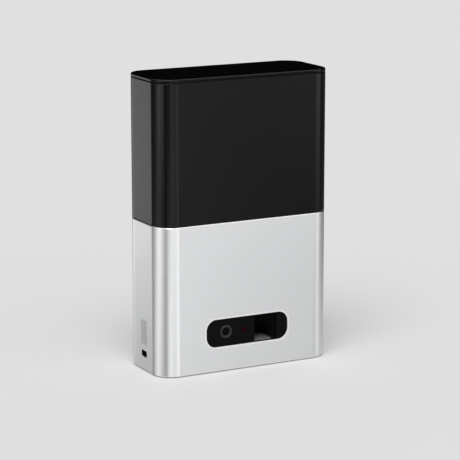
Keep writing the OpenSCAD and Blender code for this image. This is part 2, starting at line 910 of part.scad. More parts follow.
module lens_holder() {
    y0 = bezel_y1 + 1.2;
    holder_w = 2 * lens_r + 3;
    color(BLACK_PLASTIC)
        difference() {
            translate([lens_pos_x - holder_w / 2, y0, lens_z - holder_w / 2])
                cube([holder_w, camera_board_y0 - y0, holder_w]);
            rod_y(lens_pos_x, y0 - 1, camera_board_y0 - 2, lens_z, lens_r + 0.05);
        }
}

module camera_board() {
    color(BOARD_GREEN)
        difference() {
            translate([camera_board_x - camera_board_w / 2, camera_board_y0, lens_z - camera_board_h / 2])
                cube([camera_board_w, camera_board_t, camera_board_h]);
            for (s = [-1, 1])
                rod_y(camera_board_x + s * camera_post_x, camera_board_y0 - 1,
                    camera_board_y0 + camera_board_t + 1, lens_z + s * camera_post_z, screw_r + 0.2);
        }
}

module camera_screws() {
    color(STEEL)
        for (s = [-1, 1])
            translate([camera_board_x + s * camera_post_x, camera_board_y0 + camera_board_t,
                lens_z + s * camera_post_z])
                rotate([-90, 0, 0])
                    screw(camera_board_t + camera_board_gap - 3);
}

module infrared_window() {
    color(DARK_RED)
        rod_y(infrared_pos_x, bezel_face_y + 0.1, bezel_y0, lens_z, infrared_r);
}

module infrared_led() {
    led_r = infrared_r - 0.7;
    color([0.75, 0.72, 0.74]) {
        rod_y(infrared_pos_x, bezel_y0 + fit, camera_board_y0, lens_z, led_r);
        rod_y(infrared_pos_x, bezel_y1 + 4, camera_board_y0, lens_z, led_r + 0.8);
    }
}

module microphone() {
    color(STEEL)
        difference() {
            rod_y(lens_pos_x - 13, bezel_y1, bezel_y1 + 2.5, lens_z, 2);
            rod_y(lens_pos_x - 13, bezel_y1 - 1, bezel_y1 + 1.5, lens_z, 0.8);
        }
}

// ---------- Dispenser housing ----------

// The treat path seen from the side: tunnel, drop shaft, drum chamber and inlet.
module path_outline(grow) {
    translate([bezel_y1 - 10, tunnel_z0 - grow])
        square([shaft_y1 - bezel_y1 + 10 + grow, tunnel_z1 - tunnel_z0 + 2 * grow]);
    translate([shaft_y0 - grow, tunnel_z0 - grow])
        square([shaft_y1 - shaft_y0 + 2 * grow, deck_z0 - tunnel_z0 + 2 * grow + 10]);
    translate([drum_y, drum_z])
        circle(chamber_r + grow);
}

// One half of the dispenser housing, from x0 to x1, open on the side of the seam.
module housing_half(x0, x1, inner_x0, inner_x1, web_x) {
    intersection() {
        translate([x0 - 1, bezel_y1, frame_floor_z])
            cube([x1 - x0 + 2, body_d, deck_z0 - frame_floor_z]);
        difference() {
            union() {
                along_x(x0, x1) {
                    path_outline(housing_wall);
                    for (p = lug_points)
                        translate(p)
                            circle(lug_r);
                }
                for (y = [front_y + 14, shaft_y1 - 5])
                    translate([web_x - foot_web_x / 2, y - foot_web_w / 2, frame_floor_z])
                        cube([foot_web_x, foot_web_w, tunnel_z0 - frame_floor_z]);
            }
            along_x(inner_x0, inner_x1)
                path_outline(0);
            for (p = [[drum_y, drum_z], [kicker_y, kicker_z]])
                rod_x(x0 - 1, x1 + 1, p[0], p[1], bush_r + press_gap);
        }
    }
}

module housing_left() {
    color(BLACK_PLASTIC)
        difference() {
            housing_half(housing_x0, housing_seam_x, tunnel_x0, housing_seam_x + 1,
                housing_x0 + foot_web_x / 2);
            for (p = lug_points)
                rod_x(housing_x0 - 1, housing_seam_x + 1, p[0], p[1], screw_r + 0.2);
        }
}

module housing_right() {
    color(BLACK_PLASTIC)
        difference() {
            union() {
                housing_half(housing_seam_x, housing_x1, housing_seam_x - 1, tunnel_x1,
                    housing_x1 - foot_web_x / 2);
                for (p = pillar_points)
                    rod_x(housing_x1 - EPS, motor_plate_x0, p[0], p[1], pillar_r);
            }
            for (p = lug_points)
                rod_x(housing_seam_x - 1, housing_x1 - lug_blind_t, p[0], p[1], screw_r + screw_gap);
            for (p = pillar_points)
                rod_x(housing_x1 + pillar_blind_t, motor_plate_x0 + 1, p[0], p[1],
                    screw_r + screw_gap);
        }
}

module housing_screws() {
    color(STEEL)
        for (p = lug_points)
            translate([housing_x0, p[0], p[1]])
                rotate([0, -90, 0])
                    screw(housing_x1 - housing_x0 - lug_blind_t - lug_end_gap);
}

module chute_lip() {
    color(GREY_PLASTIC)
        translate([lip_x - lip_w / 2, bezel_face_y + 0.4, tunnel_z0])
            cube([lip_w, lip_l, floor_t]);
}

module treat_sensor() {
    color(BOARD_GREEN)
        translate([housing_x0 - sensor_t, shaft_y0 + sensor_in, kicker_z + sensor_rise])
            cube([sensor_t, sensor_w, sensor_h]);
}

// ---------- Metering drum and kicker ----------

module metering_drum() {
    x0 = tunnel_x0 + running_gap;
    x1 = tunnel_x1 - running_gap;
    color(WHITE_PLASTIC)
        difference() {
            union() {
                rod_x(x0, x1, drum_y, drum_z, drum_hub_r);
                rod_x(x0, x0 + drum_disc_t, drum_y, drum_z, drum_r);
                rod_x(x1 - drum_disc_t, x1, drum_y, drum_z, drum_r);
                intersection() {
                    rod_x(x0, x1, drum_y, drum_z, drum_r);
                    for (k = [0:drum_vanes - 1])
                        translate([x0, drum_y, drum_z])
                            rotate([180 / drum_vanes + 360 / drum_vanes * k, 0, 0])
                                translate([0, 0, -vane_t / 2])
                                    cube([x1 - x0, drum_r + 1, vane_t]);
                }
            }
            rod_x(x0 - 1, x1 + 1, drum_y, drum_z, shaft_r + press_gap);
        }
}

// A steel shaft through both bushes and its gear.
module through_shaft(y, z) {
    color(STEEL)
        rod_x(housing_x0 - bush_flange, gear_x1 + 0.6, y, z, shaft_r);
}

module drum_shaft() {
    through_shaft(drum_y, drum_z);
}

module kicker_shaft() {
    through_shaft(kicker_y, kicker_z);
}

// Flanged bushes in the two walls of the housing.
module wall_bushes(y, z) {
    color(BRASS)
        for (side = [0, 1])
            translate([side == 0 ? housing_x0 : housing_x1, y, z])
                rotate([0, side == 0 ? 90 : -90, 0])
                    difference() {
                        union() {
                            cylinder(h = housing_wall, r = bush_r);
                            translate([0, 0, -bush_flange])
                                cylinder(h = bush_flange, r = bush_flange_r);
                        }
                        translate([0, 0, -1 - bush_flange])
                            cylinder(h = housing_wall + bush_flange + 2, r = shaft_r + bush_gap);
                    }
}

module drum_bushes() {
    wall_bushes(drum_y, drum_z);
}

module kicker_bushes() {
    wall_bushes(kicker_y, kicker_z);
}

module drum_gear() {
    color(WHITE_PLASTIC)
        spur_gear(gear_teeth, gear_x0, gear_x1, drum_y, drum_z, shaft_r + press_gap, 180);
}

module kicker_gear() {
    color(WHITE_PLASTIC)
        spur_gear(gear_teeth, gear_x0, gear_x1, kicker_y, kicker_z, shaft_r + press_gap, 180);
}

module kicker_paddle() {
    x0 = tunnel_x0 + running_gap;
    x1 = tunnel_x1 - running_gap;
    color(WHITE_PLASTIC)
        difference() {
            union() {
                rod_x(x0, x1, kicker_y, kicker_z, kicker_hub_r);
                along_x(x0, x1)
                    polygon([
                        [kicker_y - paddle_t / 2, kicker_z], [kicker_y + paddle_t / 2, kicker_z],
                        [kicker_y + paddle_t / 2, paddle_tip_z + 1], [kicker_y + 0.5, paddle_tip_z],
                        [kicker_y - paddle_t / 2 - kicker_toe, paddle_tip_z],
                        [kicker_y - paddle_t / 2 - kicker_toe, paddle_tip_z + 1],
                        [kicker_y - paddle_t / 2, paddle_tip_z + kicker_toe + 1]
                    ]);
            }
            rod_x(x0 - 1, x1 + 1, kicker_y, kicker_z, shaft_r + press_gap);
        }
}

// ---------- Motors ----------

// A small brushed motor behind the plate, with its front boss in the plate's hole.
module motor(y, z) {
    color(STEEL)
        difference() {
            union() {
                rod_x(motor_plate_x1, motor_plate_x1 + motor_l, y, z, motor_r);
                rod_x(motor_plate_x0, motor_plate_x1 + EPS, y, z, motor_boss_r);
                rod_x(motor_plate_x1 + motor_l - EPS, motor_plate_x1 + motor_l + 1.5, y, z, motor_r * 0.45);
            }
            rod_x(motor_plate_x0 - 1, motor_plate_x1 + 6, y, z, motor_shaft_r + bush_gap);
        }
}

// The motor's steel shaft, from inside the motor to the pinion's far face.
module motor_shaft(y, z) {
    color(STEEL)
        rod_x(gear_x0, motor_plate_x1 + 5.5, y, z, motor_shaft_r);
}

// The pinion has a gap, not a tooth, towards its gear.
module motor_pinion(y, z) {
    color(BRASS)
        spur_gear(pinion_teeth, gear_x0, gear_x1, y, z, motor_shaft_r + press_gap, 180 / pinion_teeth);
}

module feed_motor() {
    motor(drum_y - gear_distance, drum_z);
}

module feed_motor_shaft() {
    motor_shaft(drum_y - gear_distance, drum_z);
}

module feed_pinion() {
    motor_pinion(drum_y - gear_distance, drum_z);
}

module kicker_motor() {
    motor(kicker_y - gear_distance, kicker_z);
}

module kicker_motor_shaft() {
    motor_shaft(kicker_y - gear_distance, kicker_z);
}

module kicker_pinion() {
    motor_pinion(kicker_y - gear_distance, kicker_z);
}

module motor_plate() {
    margin = 4;
    y0 = min(pillar_points[0][0], pillar_points[2][0]) - margin;
    y1 = max(pillar_points[1][0], pillar_points[3][0]) + margin;
    z0 = min(pillar_points[2][1], pillar_points[3][1]) - margin;
    z1 = pillar_points[0][1] + margin - 0.2;
    color(STEEL)
        difference() {
            translate([motor_plate_x0, y0, z0])
                cube([motor_plate_t, y1 - y0, z1 - z0]);
            for (p = pillar_points)
                rod_x(motor_plate_x0 - 1, motor_plate_x1 + 1, p[0], p[1], screw_r + 0.2);
            for (p = [[drum_y, drum_z], [kicker_y, kicker_z]])
                rod_x(motor_plate_x0 - 1, motor_plate_x1 + 1, p[0] - gear_distance, p[1], plate_hole_r);
        }
}

module motor_plate_screws() {
    color(STEEL)
        for (p = pillar_points)
            translate([motor_plate_x1, p[0], p[1]])
                rotate([0, 90, 0])
                    screw(motor_plate_x1 - housing_x1 - pillar_blind_t - pillar_end_gap);
}

// ---------- Electronics ----------

module main_board() {
    color(BOARD_GREEN)
        difference() {
            union() {
                translate([main_board_x - main_board_w / 2, main_board_y0, main_board_z - main_board_h / 2])
                    cube([main_board_w, board_t, main_board_h]);
                board_parts();
            }
            for (sx = [-1, 1], sz = [-1, 1])
                rod_y(main_board_x + sx * (main_board_w / 2 - board_hole_in), main_board_y0 - 1,
                    main_board_y0 + board_t + 1, main_board_z + sz * (main_board_h / 2 - board_hole_in),
                    screw_r + 0.2);
        }
}

// Five connectors and three coils in two rows on the board's lower half.
module board_parts() {
    for (i = [-2:2])
        translate([main_board_x + i * connector_pitch - connector_w / 2, main_board_y0 - connector_d,
            main_board_z - main_board_h / 2 + connector_in])
            cube([connector_w, connector_d + EPS, connector_h]);
    for (i = [-1:1])
        rod_y(main_board_x + i * coil_pitch, main_board_y0 - coil_d, main_board_y0 + EPS,
            main_board_z - coil_drop, coil_r);
}

module board_shield() {
    color(STEEL)
        difference() {
            translate([main_board_x - shield_w / 2, main_board_y0 - shield_d, main_board_z - shield_sink])
                cube([shield_w, shield_d, shield_h]);
            translate([main_board_x - shield_w / 2 + shield_t, main_board_y0 - shield_d + shield_t,
                main_board_z - shield_sink + shield_t])
                cube([shield_w - 2 * shield_t, shield_d, shield_h - 2 * shield_t]);
        }
}

module board_screws() {
    color(STEEL)
        for (sx = [-1, 1], sz = [-1, 1])
            translate([main_board_x + sx * (main_board_w / 2 - board_hole_in), main_board_y0,
                main_board_z + sz * (main_board_h / 2 - board_hole_in)])
                rotate([90, 0, 0])
                    screw(board_t + standoff_l - 0.5);
}

module antenna() {
    color([0.75, 0.55, 0.25])
        translate([frame_side_x - antenna_in - antenna_w, frame_front_y - antenna_t, main_board_z])
            cube([antenna_w, antenna_t, antenna_h]);
}

// The speaker's outline in the side wall's plane, drawn in by inset.
module speaker_outline(inset) {
    translate([speaker_y, grille_z])
        rounded_rect(speaker_d - 2 * inset, speaker_h - 2 * inset, 3 - min(inset, 2));
}

module speaker_mesh() {
    x0 = -side_x + sleeve_wall;
    color([0.05, 0.05, 0.05])
        along_x(x0, x0 + mesh_t)
            speaker_outline(0);
}

module speaker_frame() {
    x0 = -side_x + sleeve_wall + mesh_t;
    color(BLACK_PLASTIC)
        difference() {
            along_x(x0, x0 + speaker_frame_t)
                speaker_outline(0);
            along_x(x0 - 1, x0 + speaker_frame_t - 1)
                speaker_outline(1.5);
        }
}

module speaker_cone() {
    x0 = -side_x + sleeve_wall + mesh_t + 1.2;
    color([0.2, 0.2, 0.21]) {
        along_x(x0, x0 + 0.6)
            speaker_outline(1.8);
        rod_x(x0, -side_x + sleeve_wall + mesh_t + speaker_frame_t - 1, speaker_y, grille_z, 4);
    }
}

module speaker_box() {
    x0 = -side_x + sleeve_wall + mesh_t + speaker_frame_t;
    wall = 1.4;
    color(BLACK_PLASTIC)
        difference() {
            along_x(x0, x0 + speaker_box_l)
                speaker_outline(0);
            along_x(x0 + wall, x0 + speaker_box_l - wall)
                speaker_outline(wall);
        }
}

// The black liner of the power socket's recess.
module power_bezel() {
    x0 = -side_x;
    x1 = x0 + recess_depth;
    color(BLACK_GLOSS)
        difference() {
            union() {
                along_x(x0 + 0.1, x1)
                    recess_outline(recess_wall);
                along_x(x0 + sleeve_wall, x1)
                    recess_outline(recess_wall + 0.4);
            }
            along_x(x0 - 1, x1 + 1)
                recess_outline(0);
        }
}

module power_socket() {
    x0 = -side_x + recess_depth;
    shell_t = 0.3;
    color(STEEL)
        difference() {
            along_x(x0, x0 + socket_l)
                translate([socket_y, socket_z])
                    rounded_rect(socket_w, socket_h, socket_h / 2 - EPS);
            difference() {
                along_x(x0 - 1, x0 + socket_l - 1)
                    translate([socket_y, socket_z])
                        rounded_rect(socket_w - 2 * shell_t, socket_h - 2 * shell_t,
                            socket_h / 2 - shell_t - EPS);
                along_x(x0 + 0.6, x0 + socket_l)
                    translate([socket_y, socket_z])
                        square([6.6, 0.7], center = true);
            }
        }
}

module power_board() {
    color(BOARD_GREEN)
        translate([-side_x + sleeve_wall + 3.2, socket_y - 8, power_board_z1 - board_t])
            cube([17, 16, board_t]);
}

lower_sleeve();
window_trim();
upper_shell();
base_plate();
rubber_feet();
base_screws();
rear_cover();
rear_screws();
reset_button();
reset_switch();
main_frame();
frame_floor();
mid_deck();
throat_gasket();
treat_hopper();
lid_plate();
lid_skirt();
lid_seal();
camera_bezel();
lens_barrel();
lens_glass();
lens_holder();
camera_board();
camera_screws();
infrared_window();
infrared_led();
microphone();
housing_left();
housing_right();
housing_screws();
chute_lip();
treat_sensor();
metering_drum();
drum_shaft();
drum_gear();
drum_bushes();
feed_motor();
feed_motor_shaft();
feed_pinion();
kicker_paddle();
kicker_shaft();
kicker_gear();
kicker_bushes();
kicker_motor();
kicker_motor_shaft();
kicker_pinion();
motor_plate();
motor_plate_screws();
main_board();
board_shield();
board_screws();
antenna();
speaker_mesh();
speaker_frame();
speaker_cone();
speaker_box();
power_bezel();
power_socket();
power_board();
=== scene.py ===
"""A treat tossing pet camera, dressed for its portrait.

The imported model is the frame: every solid comes from it and stays where it is.
This script gives each solid its finish, models the softly shaped and small parts that
the solids leave plain, and sets up a floor, a studio and a camera.

Places and sizes in the classes are in millimetres and are turned into metres on use.
The front of the object faces -Y, its grille and power inlet face -X, and Z is up.
"""

from __future__ import annotations

import logging
import math
from contextlib import contextmanager
from dataclasses import dataclass, replace
from enum import Enum
from typing import Callable, ClassVar, Iterator, Sequence, Union

import bmesh
import bpy
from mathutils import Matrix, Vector


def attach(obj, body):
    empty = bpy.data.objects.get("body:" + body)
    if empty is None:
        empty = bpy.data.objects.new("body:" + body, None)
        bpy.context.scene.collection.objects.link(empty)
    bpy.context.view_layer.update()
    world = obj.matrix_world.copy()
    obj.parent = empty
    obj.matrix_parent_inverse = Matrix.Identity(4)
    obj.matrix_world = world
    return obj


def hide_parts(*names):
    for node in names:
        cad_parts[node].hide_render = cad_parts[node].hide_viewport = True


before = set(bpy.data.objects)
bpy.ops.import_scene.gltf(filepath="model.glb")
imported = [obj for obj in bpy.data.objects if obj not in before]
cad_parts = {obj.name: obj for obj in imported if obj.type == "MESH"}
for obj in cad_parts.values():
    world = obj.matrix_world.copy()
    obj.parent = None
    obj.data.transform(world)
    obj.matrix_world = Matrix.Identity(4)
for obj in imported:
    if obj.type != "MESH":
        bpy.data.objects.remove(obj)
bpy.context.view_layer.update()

MM = 0.001
LOG = logging.getLogger("pet_camera")

Point = tuple[float, float, float]
Colour = tuple[float, float, float]
Socket = bpy.types.NodeSocket
Value = Union[Socket, float, Colour]
Piece = bpy.types.Object
PairTest = Callable[[Vector, Vector], bool]
Rounding = tuple[float, int]
"""The width of a rounding in millimetres and the number of flats in it."""
Rings = Sequence[tuple[float, float]]
"""The rings of a stepped face, each with its width and its rise in millimetres."""
CLOSE = 0.01
"""How far apart two places may be and still count as one, in millimetres."""
SQUARE = 0.9
"""The least share of a normal along an axis that counts as square to it."""


def metres(point: Sequence[float]) -> Vector:
    """Turns a place or offset in millimetres into metres."""
    return Vector(point) * MM


def upright(first: Vector, second: Vector) -> bool:
    """Tells if an edge runs straight up between its two ends."""
    return (first - second).to_2d().length < CLOSE


def grey(level: float, warmth: float = 0.0) -> Colour:
    """Gives a linear grey, a little warmer where warmth is above zero and cooler below.

    Args:
        level: The linear level of the green channel.
        warmth: The share that red gains and blue loses.

    Returns:
        The linear colour.
    """
    return (level * (1 + warmth), level, level * (1 - warmth))


class Axis(Enum):
    """The three axes, each with the turn that lays a primitive's Z along it."""

    X = ((1.0, 0.0, 0.0), (0.0, math.pi / 2, 0.0))
    Y = ((0.0, 1.0, 0.0), (-math.pi / 2, 0.0, 0.0))
    Z = ((0.0, 0.0, 1.0), (0.0, 0.0, 0.0))

    @property
    def direction(self) -> Vector:
        """The unit vector along the axis."""
        return Vector(self.value[0])

    @property
    def turn(self) -> Point:
        """The Euler angles for a primitive that is added along the axis."""
        return self.value[1]


def facing(axis: Axis, side: int = 0) -> PairTest:
    """Makes a test for the flat faces that are square to an axis.

    Args:
        axis: The axis.
        side: 1 or -1 for the faces that look along or against it, 0 for both.

    Returns:
        A test that takes a face's middle and its normal.
    """

    if side:
        return lambda _, normal: normal.dot(axis.direction) * side > SQUARE
    return lambda _, normal: abs(normal.dot(axis.direction)) > SQUARE


class Bench:
    """Models one piece at a time with the operators of object mode and edit mode.

    Attributes:
        doubles: The distance within which points are merged, in millimetres.
        soft_bend: The sharpest bend that is shaded smooth, in degrees.
        face_weight: How strongly the shading normals follow the larger faces.
    """

    doubles: ClassVar[float] = 0.0005
    soft_bend: ClassVar[float] = 35.0
    face_weight: ClassVar[int] = 60

    def clear(self) -> None:
        """Deselects everything, so that an operator acts only on what comes next."""
        bpy.ops.object.select_all(action="DESELECT")
        bpy.context.view_layer.objects.active = None

    def hold(self, piece: Piece) -> None:
        """Selects one piece alone and makes it the active one.

        Args:
            piece: The piece that the next operator acts on.
        """
        self.clear()
        piece.select_set(True)
        bpy.context.view_layer.objects.active = piece

    def settle(self, name: str) -> Piece:
        """Names the piece that was just added and puts its place into its mesh.

        Args:
            name: The name of the piece and of its mesh.

        Returns:
            The piece, at the origin, unturned and unscaled.
        """
        piece = bpy.context.active_object
        piece.name = piece.data.name = name
        bpy.ops.object.transform_apply(location=True, rotation=True, scale=True)
        return piece

    def slab(self, name: str, low: Point, high: Point) -> Piece:
        """Adds a box between two corners.

        Args:
            name: The name of the piece.
            low: The lowest corner, in millimetres.
            high: The highest corner, in millimetres.

        Returns:
            The box, ready to be shaped.
        """
        self.clear()
        near, far = metres(low), metres(high)
        bpy.ops.mesh.primitive_cube_add(size=1.0, location=(near + far) / 2)
        bpy.ops.transform.resize(value=far - near)
        return self.settle(name)

    def rod(
        self, name: str, start: Point, axis: Axis, radius: float, length: float, sides: int = 64
    ) -> Piece:
        """Adds a closed round bar.

        Args:
            name: The name of the piece.
            start: The middle of the end that the bar starts from, in millimetres.
            axis: The axis that the bar runs along, in its positive direction.
            radius: The radius in millimetres.
            length: The length in millimetres.
            sides: The number of flat sides.

        Returns:
            The bar, ready to be shaped.
        """
        self.clear()
        middle = metres(start) + axis.direction * length * MM / 2
        bpy.ops.mesh.primitive_cylinder_add(
            vertices=sides, radius=radius * MM, depth=length * MM, location=middle, rotation=axis.turn
        )
        return self.settle(name)

    @contextmanager
    def editing(self, piece: Piece) -> Iterator[None]:
        """Holds a piece in edit mode with nothing selected.

        Args:
            piece: The piece to edit.

        Yields:
            Nothing; the piece is back in object mode afterwards.
        """
        self.hold(piece)
        bpy.ops.object.mode_set(mode="EDIT")
        bpy.ops.mesh.select_mode(type="FACE")
        bpy.ops.mesh.select_all(action="DESELECT")
        yield
        bpy.ops.object.mode_set(mode="OBJECT")

    def pick_faces(self, piece: Piece, test: PairTest) -> None:
        """Selects the faces of a piece in edit mode by their place and normal.

        Args:
            piece: The piece in edit mode.
            test: Takes a face's middle in millimetres and its normal.
        """
        self._pick(piece, "FACE", lambda face: test(face.calc_center_median() / MM, face.normal))

    def pick_edges(self, piece: Piece, test: PairTest) -> None:
        """Selects the edges of a piece in edit mode by the place of their ends.

        Args:
            piece: The piece in edit mode.
            test: Takes the two ends of an edge in millimetres.
        """
        self._pick(piece, "EDGE", lambda edge: test(edge.verts[0].co / MM, edge.verts[1].co / MM))

    def _pick(self, piece: Piece, mode: str, wanted: Callable[[object], bool]) -> None:
        """Selects the faces or the edges that are wanted and nothing else.

        Args:
            piece: The piece in edit mode.
            mode: FACE or EDGE.
            wanted: Tells if a face or an edge is to be selected.
        """
        bpy.ops.mesh.select_mode(type=mode)
        bpy.ops.mesh.select_all(action="DESELECT")
        mesh = bmesh.from_edit_mesh(piece.data)
        for part in mesh.faces if mode == "FACE" else mesh.edges:
            if wanted(part):
                part.select_set(True)
        bmesh.update_edit_mesh(piece.data)

    def round_edges(self, piece: Piece, test: PairTest, rounding: Rounding) -> None:
        """Rounds the edges that pass a test.

        Args:
            piece: The piece to shape.
            test: Takes the two ends of an edge in millimetres.
            rounding: The width and the number of flats.
        """
        width, steps = rounding
        with self.editing(piece):
            self.pick_edges(piece, test)
            bpy.ops.mesh.bevel(offset=width * MM, segments=steps, profile=0.5, affect="EDGES")

    def step_face(self, piece: Piece, test: PairTest, rings: Rings) -> None:
        """Turns steps into a flat face, each an inset ring that rises or sinks.

        Args:
            piece: The piece to shape.
            test: Takes a face's middle in millimetres and its normal.
            rings: The rings from the rim inwards; a sinking one has a rise below zero.
        """
        with self.editing(piece):
            self.pick_faces(piece, test)
            for width, rise in rings:
                bpy.ops.mesh.inset(thickness=width * MM, depth=rise * MM)

    def modify(self, piece: Piece, kind: str, **settings: object) -> None:
        """Adds a modifier with its settings and applies it.

        Args:
            piece: The piece to change.
            kind: The kind of modifier.
            settings: The modifier's own settings by name.
        """
        self.hold(piece)
        modifier = piece.modifiers.new(kind.lower(), kind)
        for name, value in settings.items():
            setattr(modifier, name, value)
        bpy.ops.object.modifier_apply(modifier=modifier.name)

    def tidy(self, piece: Piece) -> None:
        """Merges doubles, turns the faces outwards and shades the soft bends smooth.

        The shading normals follow the larger faces, so that flat faces stay flat.

        Args:
            piece: The piece, shaped and in place.
        """
        with self.editing(piece):
            bpy.ops.mesh.select_all(action="SELECT")
            bpy.ops.mesh.remove_doubles(threshold=self.doubles * MM)
            bpy.ops.mesh.normals_make_consistent(inside=False)
        bpy.ops.object.shade_smooth_by_angle(angle=math.radians(self.soft_bend))
        self.modify(piece, "WEIGHTED_NORMAL", keep_sharp=True, weight=self.face_weight)

    def copy(self, piece: Piece, name: str, offset: Point) -> Piece:
        """Copies a piece with its own mesh and moves the copy's mesh.

        Args:
            piece: The finished piece.
            name: The name of the copy.
            offset: How far to move the copy, in millimetres.

        Returns:
            The copy, at the origin with its place in its mesh.
        """
        self.hold(piece)
        bpy.ops.object.duplicate(linked=False)
        bpy.ops.transform.translate(value=metres(offset))
        return self.settle(name)


class Graph:
    """Short calls for the nodes of one shader tree."""

    def __init__(self, tree: bpy.types.NodeTree) -> None:
        """Keeps the tree that the nodes go into."""
        self.tree = tree

    def add(self, kind: str, **settings: object) -> bpy.types.Node:
        """Adds a node of a kind and sets its own settings.

        Args:
            kind: The kind of node.
            settings: The node's own settings by name.

        Returns:
            The node.
        """
        node = self.tree.nodes.new(kind)
        for name, value in settings.items():
            setattr(node, name, value)
        return node

    def feed(self, socket: Socket, value: Value) -> None:
        """Links a socket to another one, or writes a plain number or colour into it.

        Args:
            socket: The input that takes the value.
            value: A socket, a number or a colour.
        """
        if isinstance(value, bpy.types.NodeSocket):
            self.tree.links.new(value, socket)
        elif isinstance(value, tuple) and socket.type == "RGBA":
            socket.default_value = (*value, 1.0)
        else:
            socket.default_value = value

    def maths(self, operation: str, *values: Value, clamp: bool = False) -> Socket:
        """Works a number out of up to three others.

        Args:
            operation: What to do with them.
            values: The numbers or the sockets that they come from.
            clamp: Keeps the result between 0 and 1.

        Returns:
            The result.
        """
        node = self.add("ShaderNodeMath", operation=operation, use_clamp=clamp)
        for socket, value in zip(node.inputs, values):
            self.feed(socket, value)
        return node.outputs[0]

    def measure(self, operation: str, *values: Value) -> Socket:
        """Works a number out of one or two vectors.

        Args:
            operation: What to do with them.
            values: The vectors' sockets.

        Returns:
            The number.
        """
        node = self.add("ShaderNodeVectorMath", operation=operation)
        for socket, value in zip(node.inputs, values):
            self.feed(socket, value)
        return node.outputs["Value"]

    def split(self, vector: Socket) -> dict[str, Socket]:
        """Splits a vector into its X, Y and Z.

        Args:
            vector: The vector's socket.

        Returns:
            The three numbers by the name of their axis.
        """
        node = self.add("ShaderNodeSeparateXYZ")
        self.feed(node.inputs[0], vector)
        return {axis: node.outputs[axis] for axis in "XYZ"}

    def normal(self) -> Socket:
        """Gives the direction that the surface faces."""
        return self.add("ShaderNodeNewGeometry").outputs["Normal"]

    def spread(
        self,
        value: Value,
        low: float,
        high: float,
        to_low: float = 0.0,
        to_high: float = 1.0,
    ) -> Socket:
        """Maps a range of a value onto another range, smoothly and clamped at both ends.

        Args:
            value: The value to map.
            low: The value that gives to_low.
            high: The value that gives to_high.
            to_low: The low end of the result.
            to_high: The high end of the result.

        Returns:
            The mapped value.
        """
        node = self.add("ShaderNodeMapRange", interpolation_type="SMOOTHSTEP")
        for socket, number in zip(node.inputs, (value, low, high, to_low, to_high)):
            self.feed(socket, number)
        return node.outputs[0]

    def blend(self, share: Value, low: Value, high: Value) -> Socket:
        """Mixes two colours by a share.

        Args:
            share: The share of the second colour.
            low: The first colour.
            high: The second colour.

        Returns:
            The mixed colour.
        """
        node = self.add("ShaderNodeMix", data_type="RGBA")
        for index, value in ((0, share), (6, low), (7, high)):
            self.feed(node.inputs[index], value)
        return node.outputs[2]

    def noise(self, place: Socket, size: float, detail: float = 2.0, rough: float = 0.5) -> Socket:
        """Adds soft noise.

        Args:
            place: The coordinates in metres.
            size: The size of its blotches in millimetres.
            detail: The number of finer layers.
            rough: How strong each finer layer is.

        Returns:
            A level from 0 to 1 that is mostly near the middle.
        """
        node = self.add("ShaderNodeTexNoise", noise_dimensions="3D")
        self.feed(node.inputs["Vector"], place)
        node.inputs["Scale"].default_value = 1.0 / (size * MM)
        node.inputs["Detail"].default_value = detail
        node.inputs["Roughness"].default_value = rough
        return node.outputs[0]

    def cells(self, place: Socket, size: float) -> bpy.types.Node:
        """Adds a cell pattern.

        Args:
            place: The coordinates in metres.
            size: The size of its cells in millimetres.

        Returns:
            The pattern's node.
        """
        node = self.add("ShaderNodeTexVoronoi")
        self.feed(node.inputs["Vector"], place)
        node.inputs["Scale"].default_value = 1.0 / (size * MM)
        return node

    def place(self, centre: Point = (0.0, 0.0, 0.0), stretch: Point = (1.0, 1.0, 1.0)) -> Socket:
        """Gives object coordinates, moved so that a centre is at zero, then stretched.

        Args:
            centre: The place that becomes zero, in millimetres.
            stretch: The factor along each axis.

        Returns:
            The coordinates in metres.
        """
        source = self.add("ShaderNodeTexCoord").outputs["Object"]
        mapping = self.add("ShaderNodeMapping", vector_type="POINT")
        self.feed(mapping.inputs["Vector"], source)
        offset = [-c * s * MM for c, s in zip(centre, stretch)]
        mapping.inputs["Location"].default_value = offset
        mapping.inputs["Scale"].default_value = stretch
        return mapping.outputs[0]

    def effect(self, group: bpy.types.NodeTree, **values: Value) -> bpy.types.Node:
        """Places a shared effect.

        Args:
            group: The effect's node group.
            values: Its inputs by name, with an underscore for a space.

        Returns:
            The effect's node.
        """
        node = self.add("ShaderNodeGroup", node_tree=group)
        for name, value in values.items():
            self.feed(node.inputs[name.replace("_", " ")], value)
        return node


class Effect(Enum):
    """The effects that several finishes share, each one node group."""

    SOFT_EDGES = "soft_edges"
    FINE_GRAIN = "fine_grain"
    HANDLING = "handling_marks"
    DUST = "settled_dust"
    HAIRLINES = "hairlines"


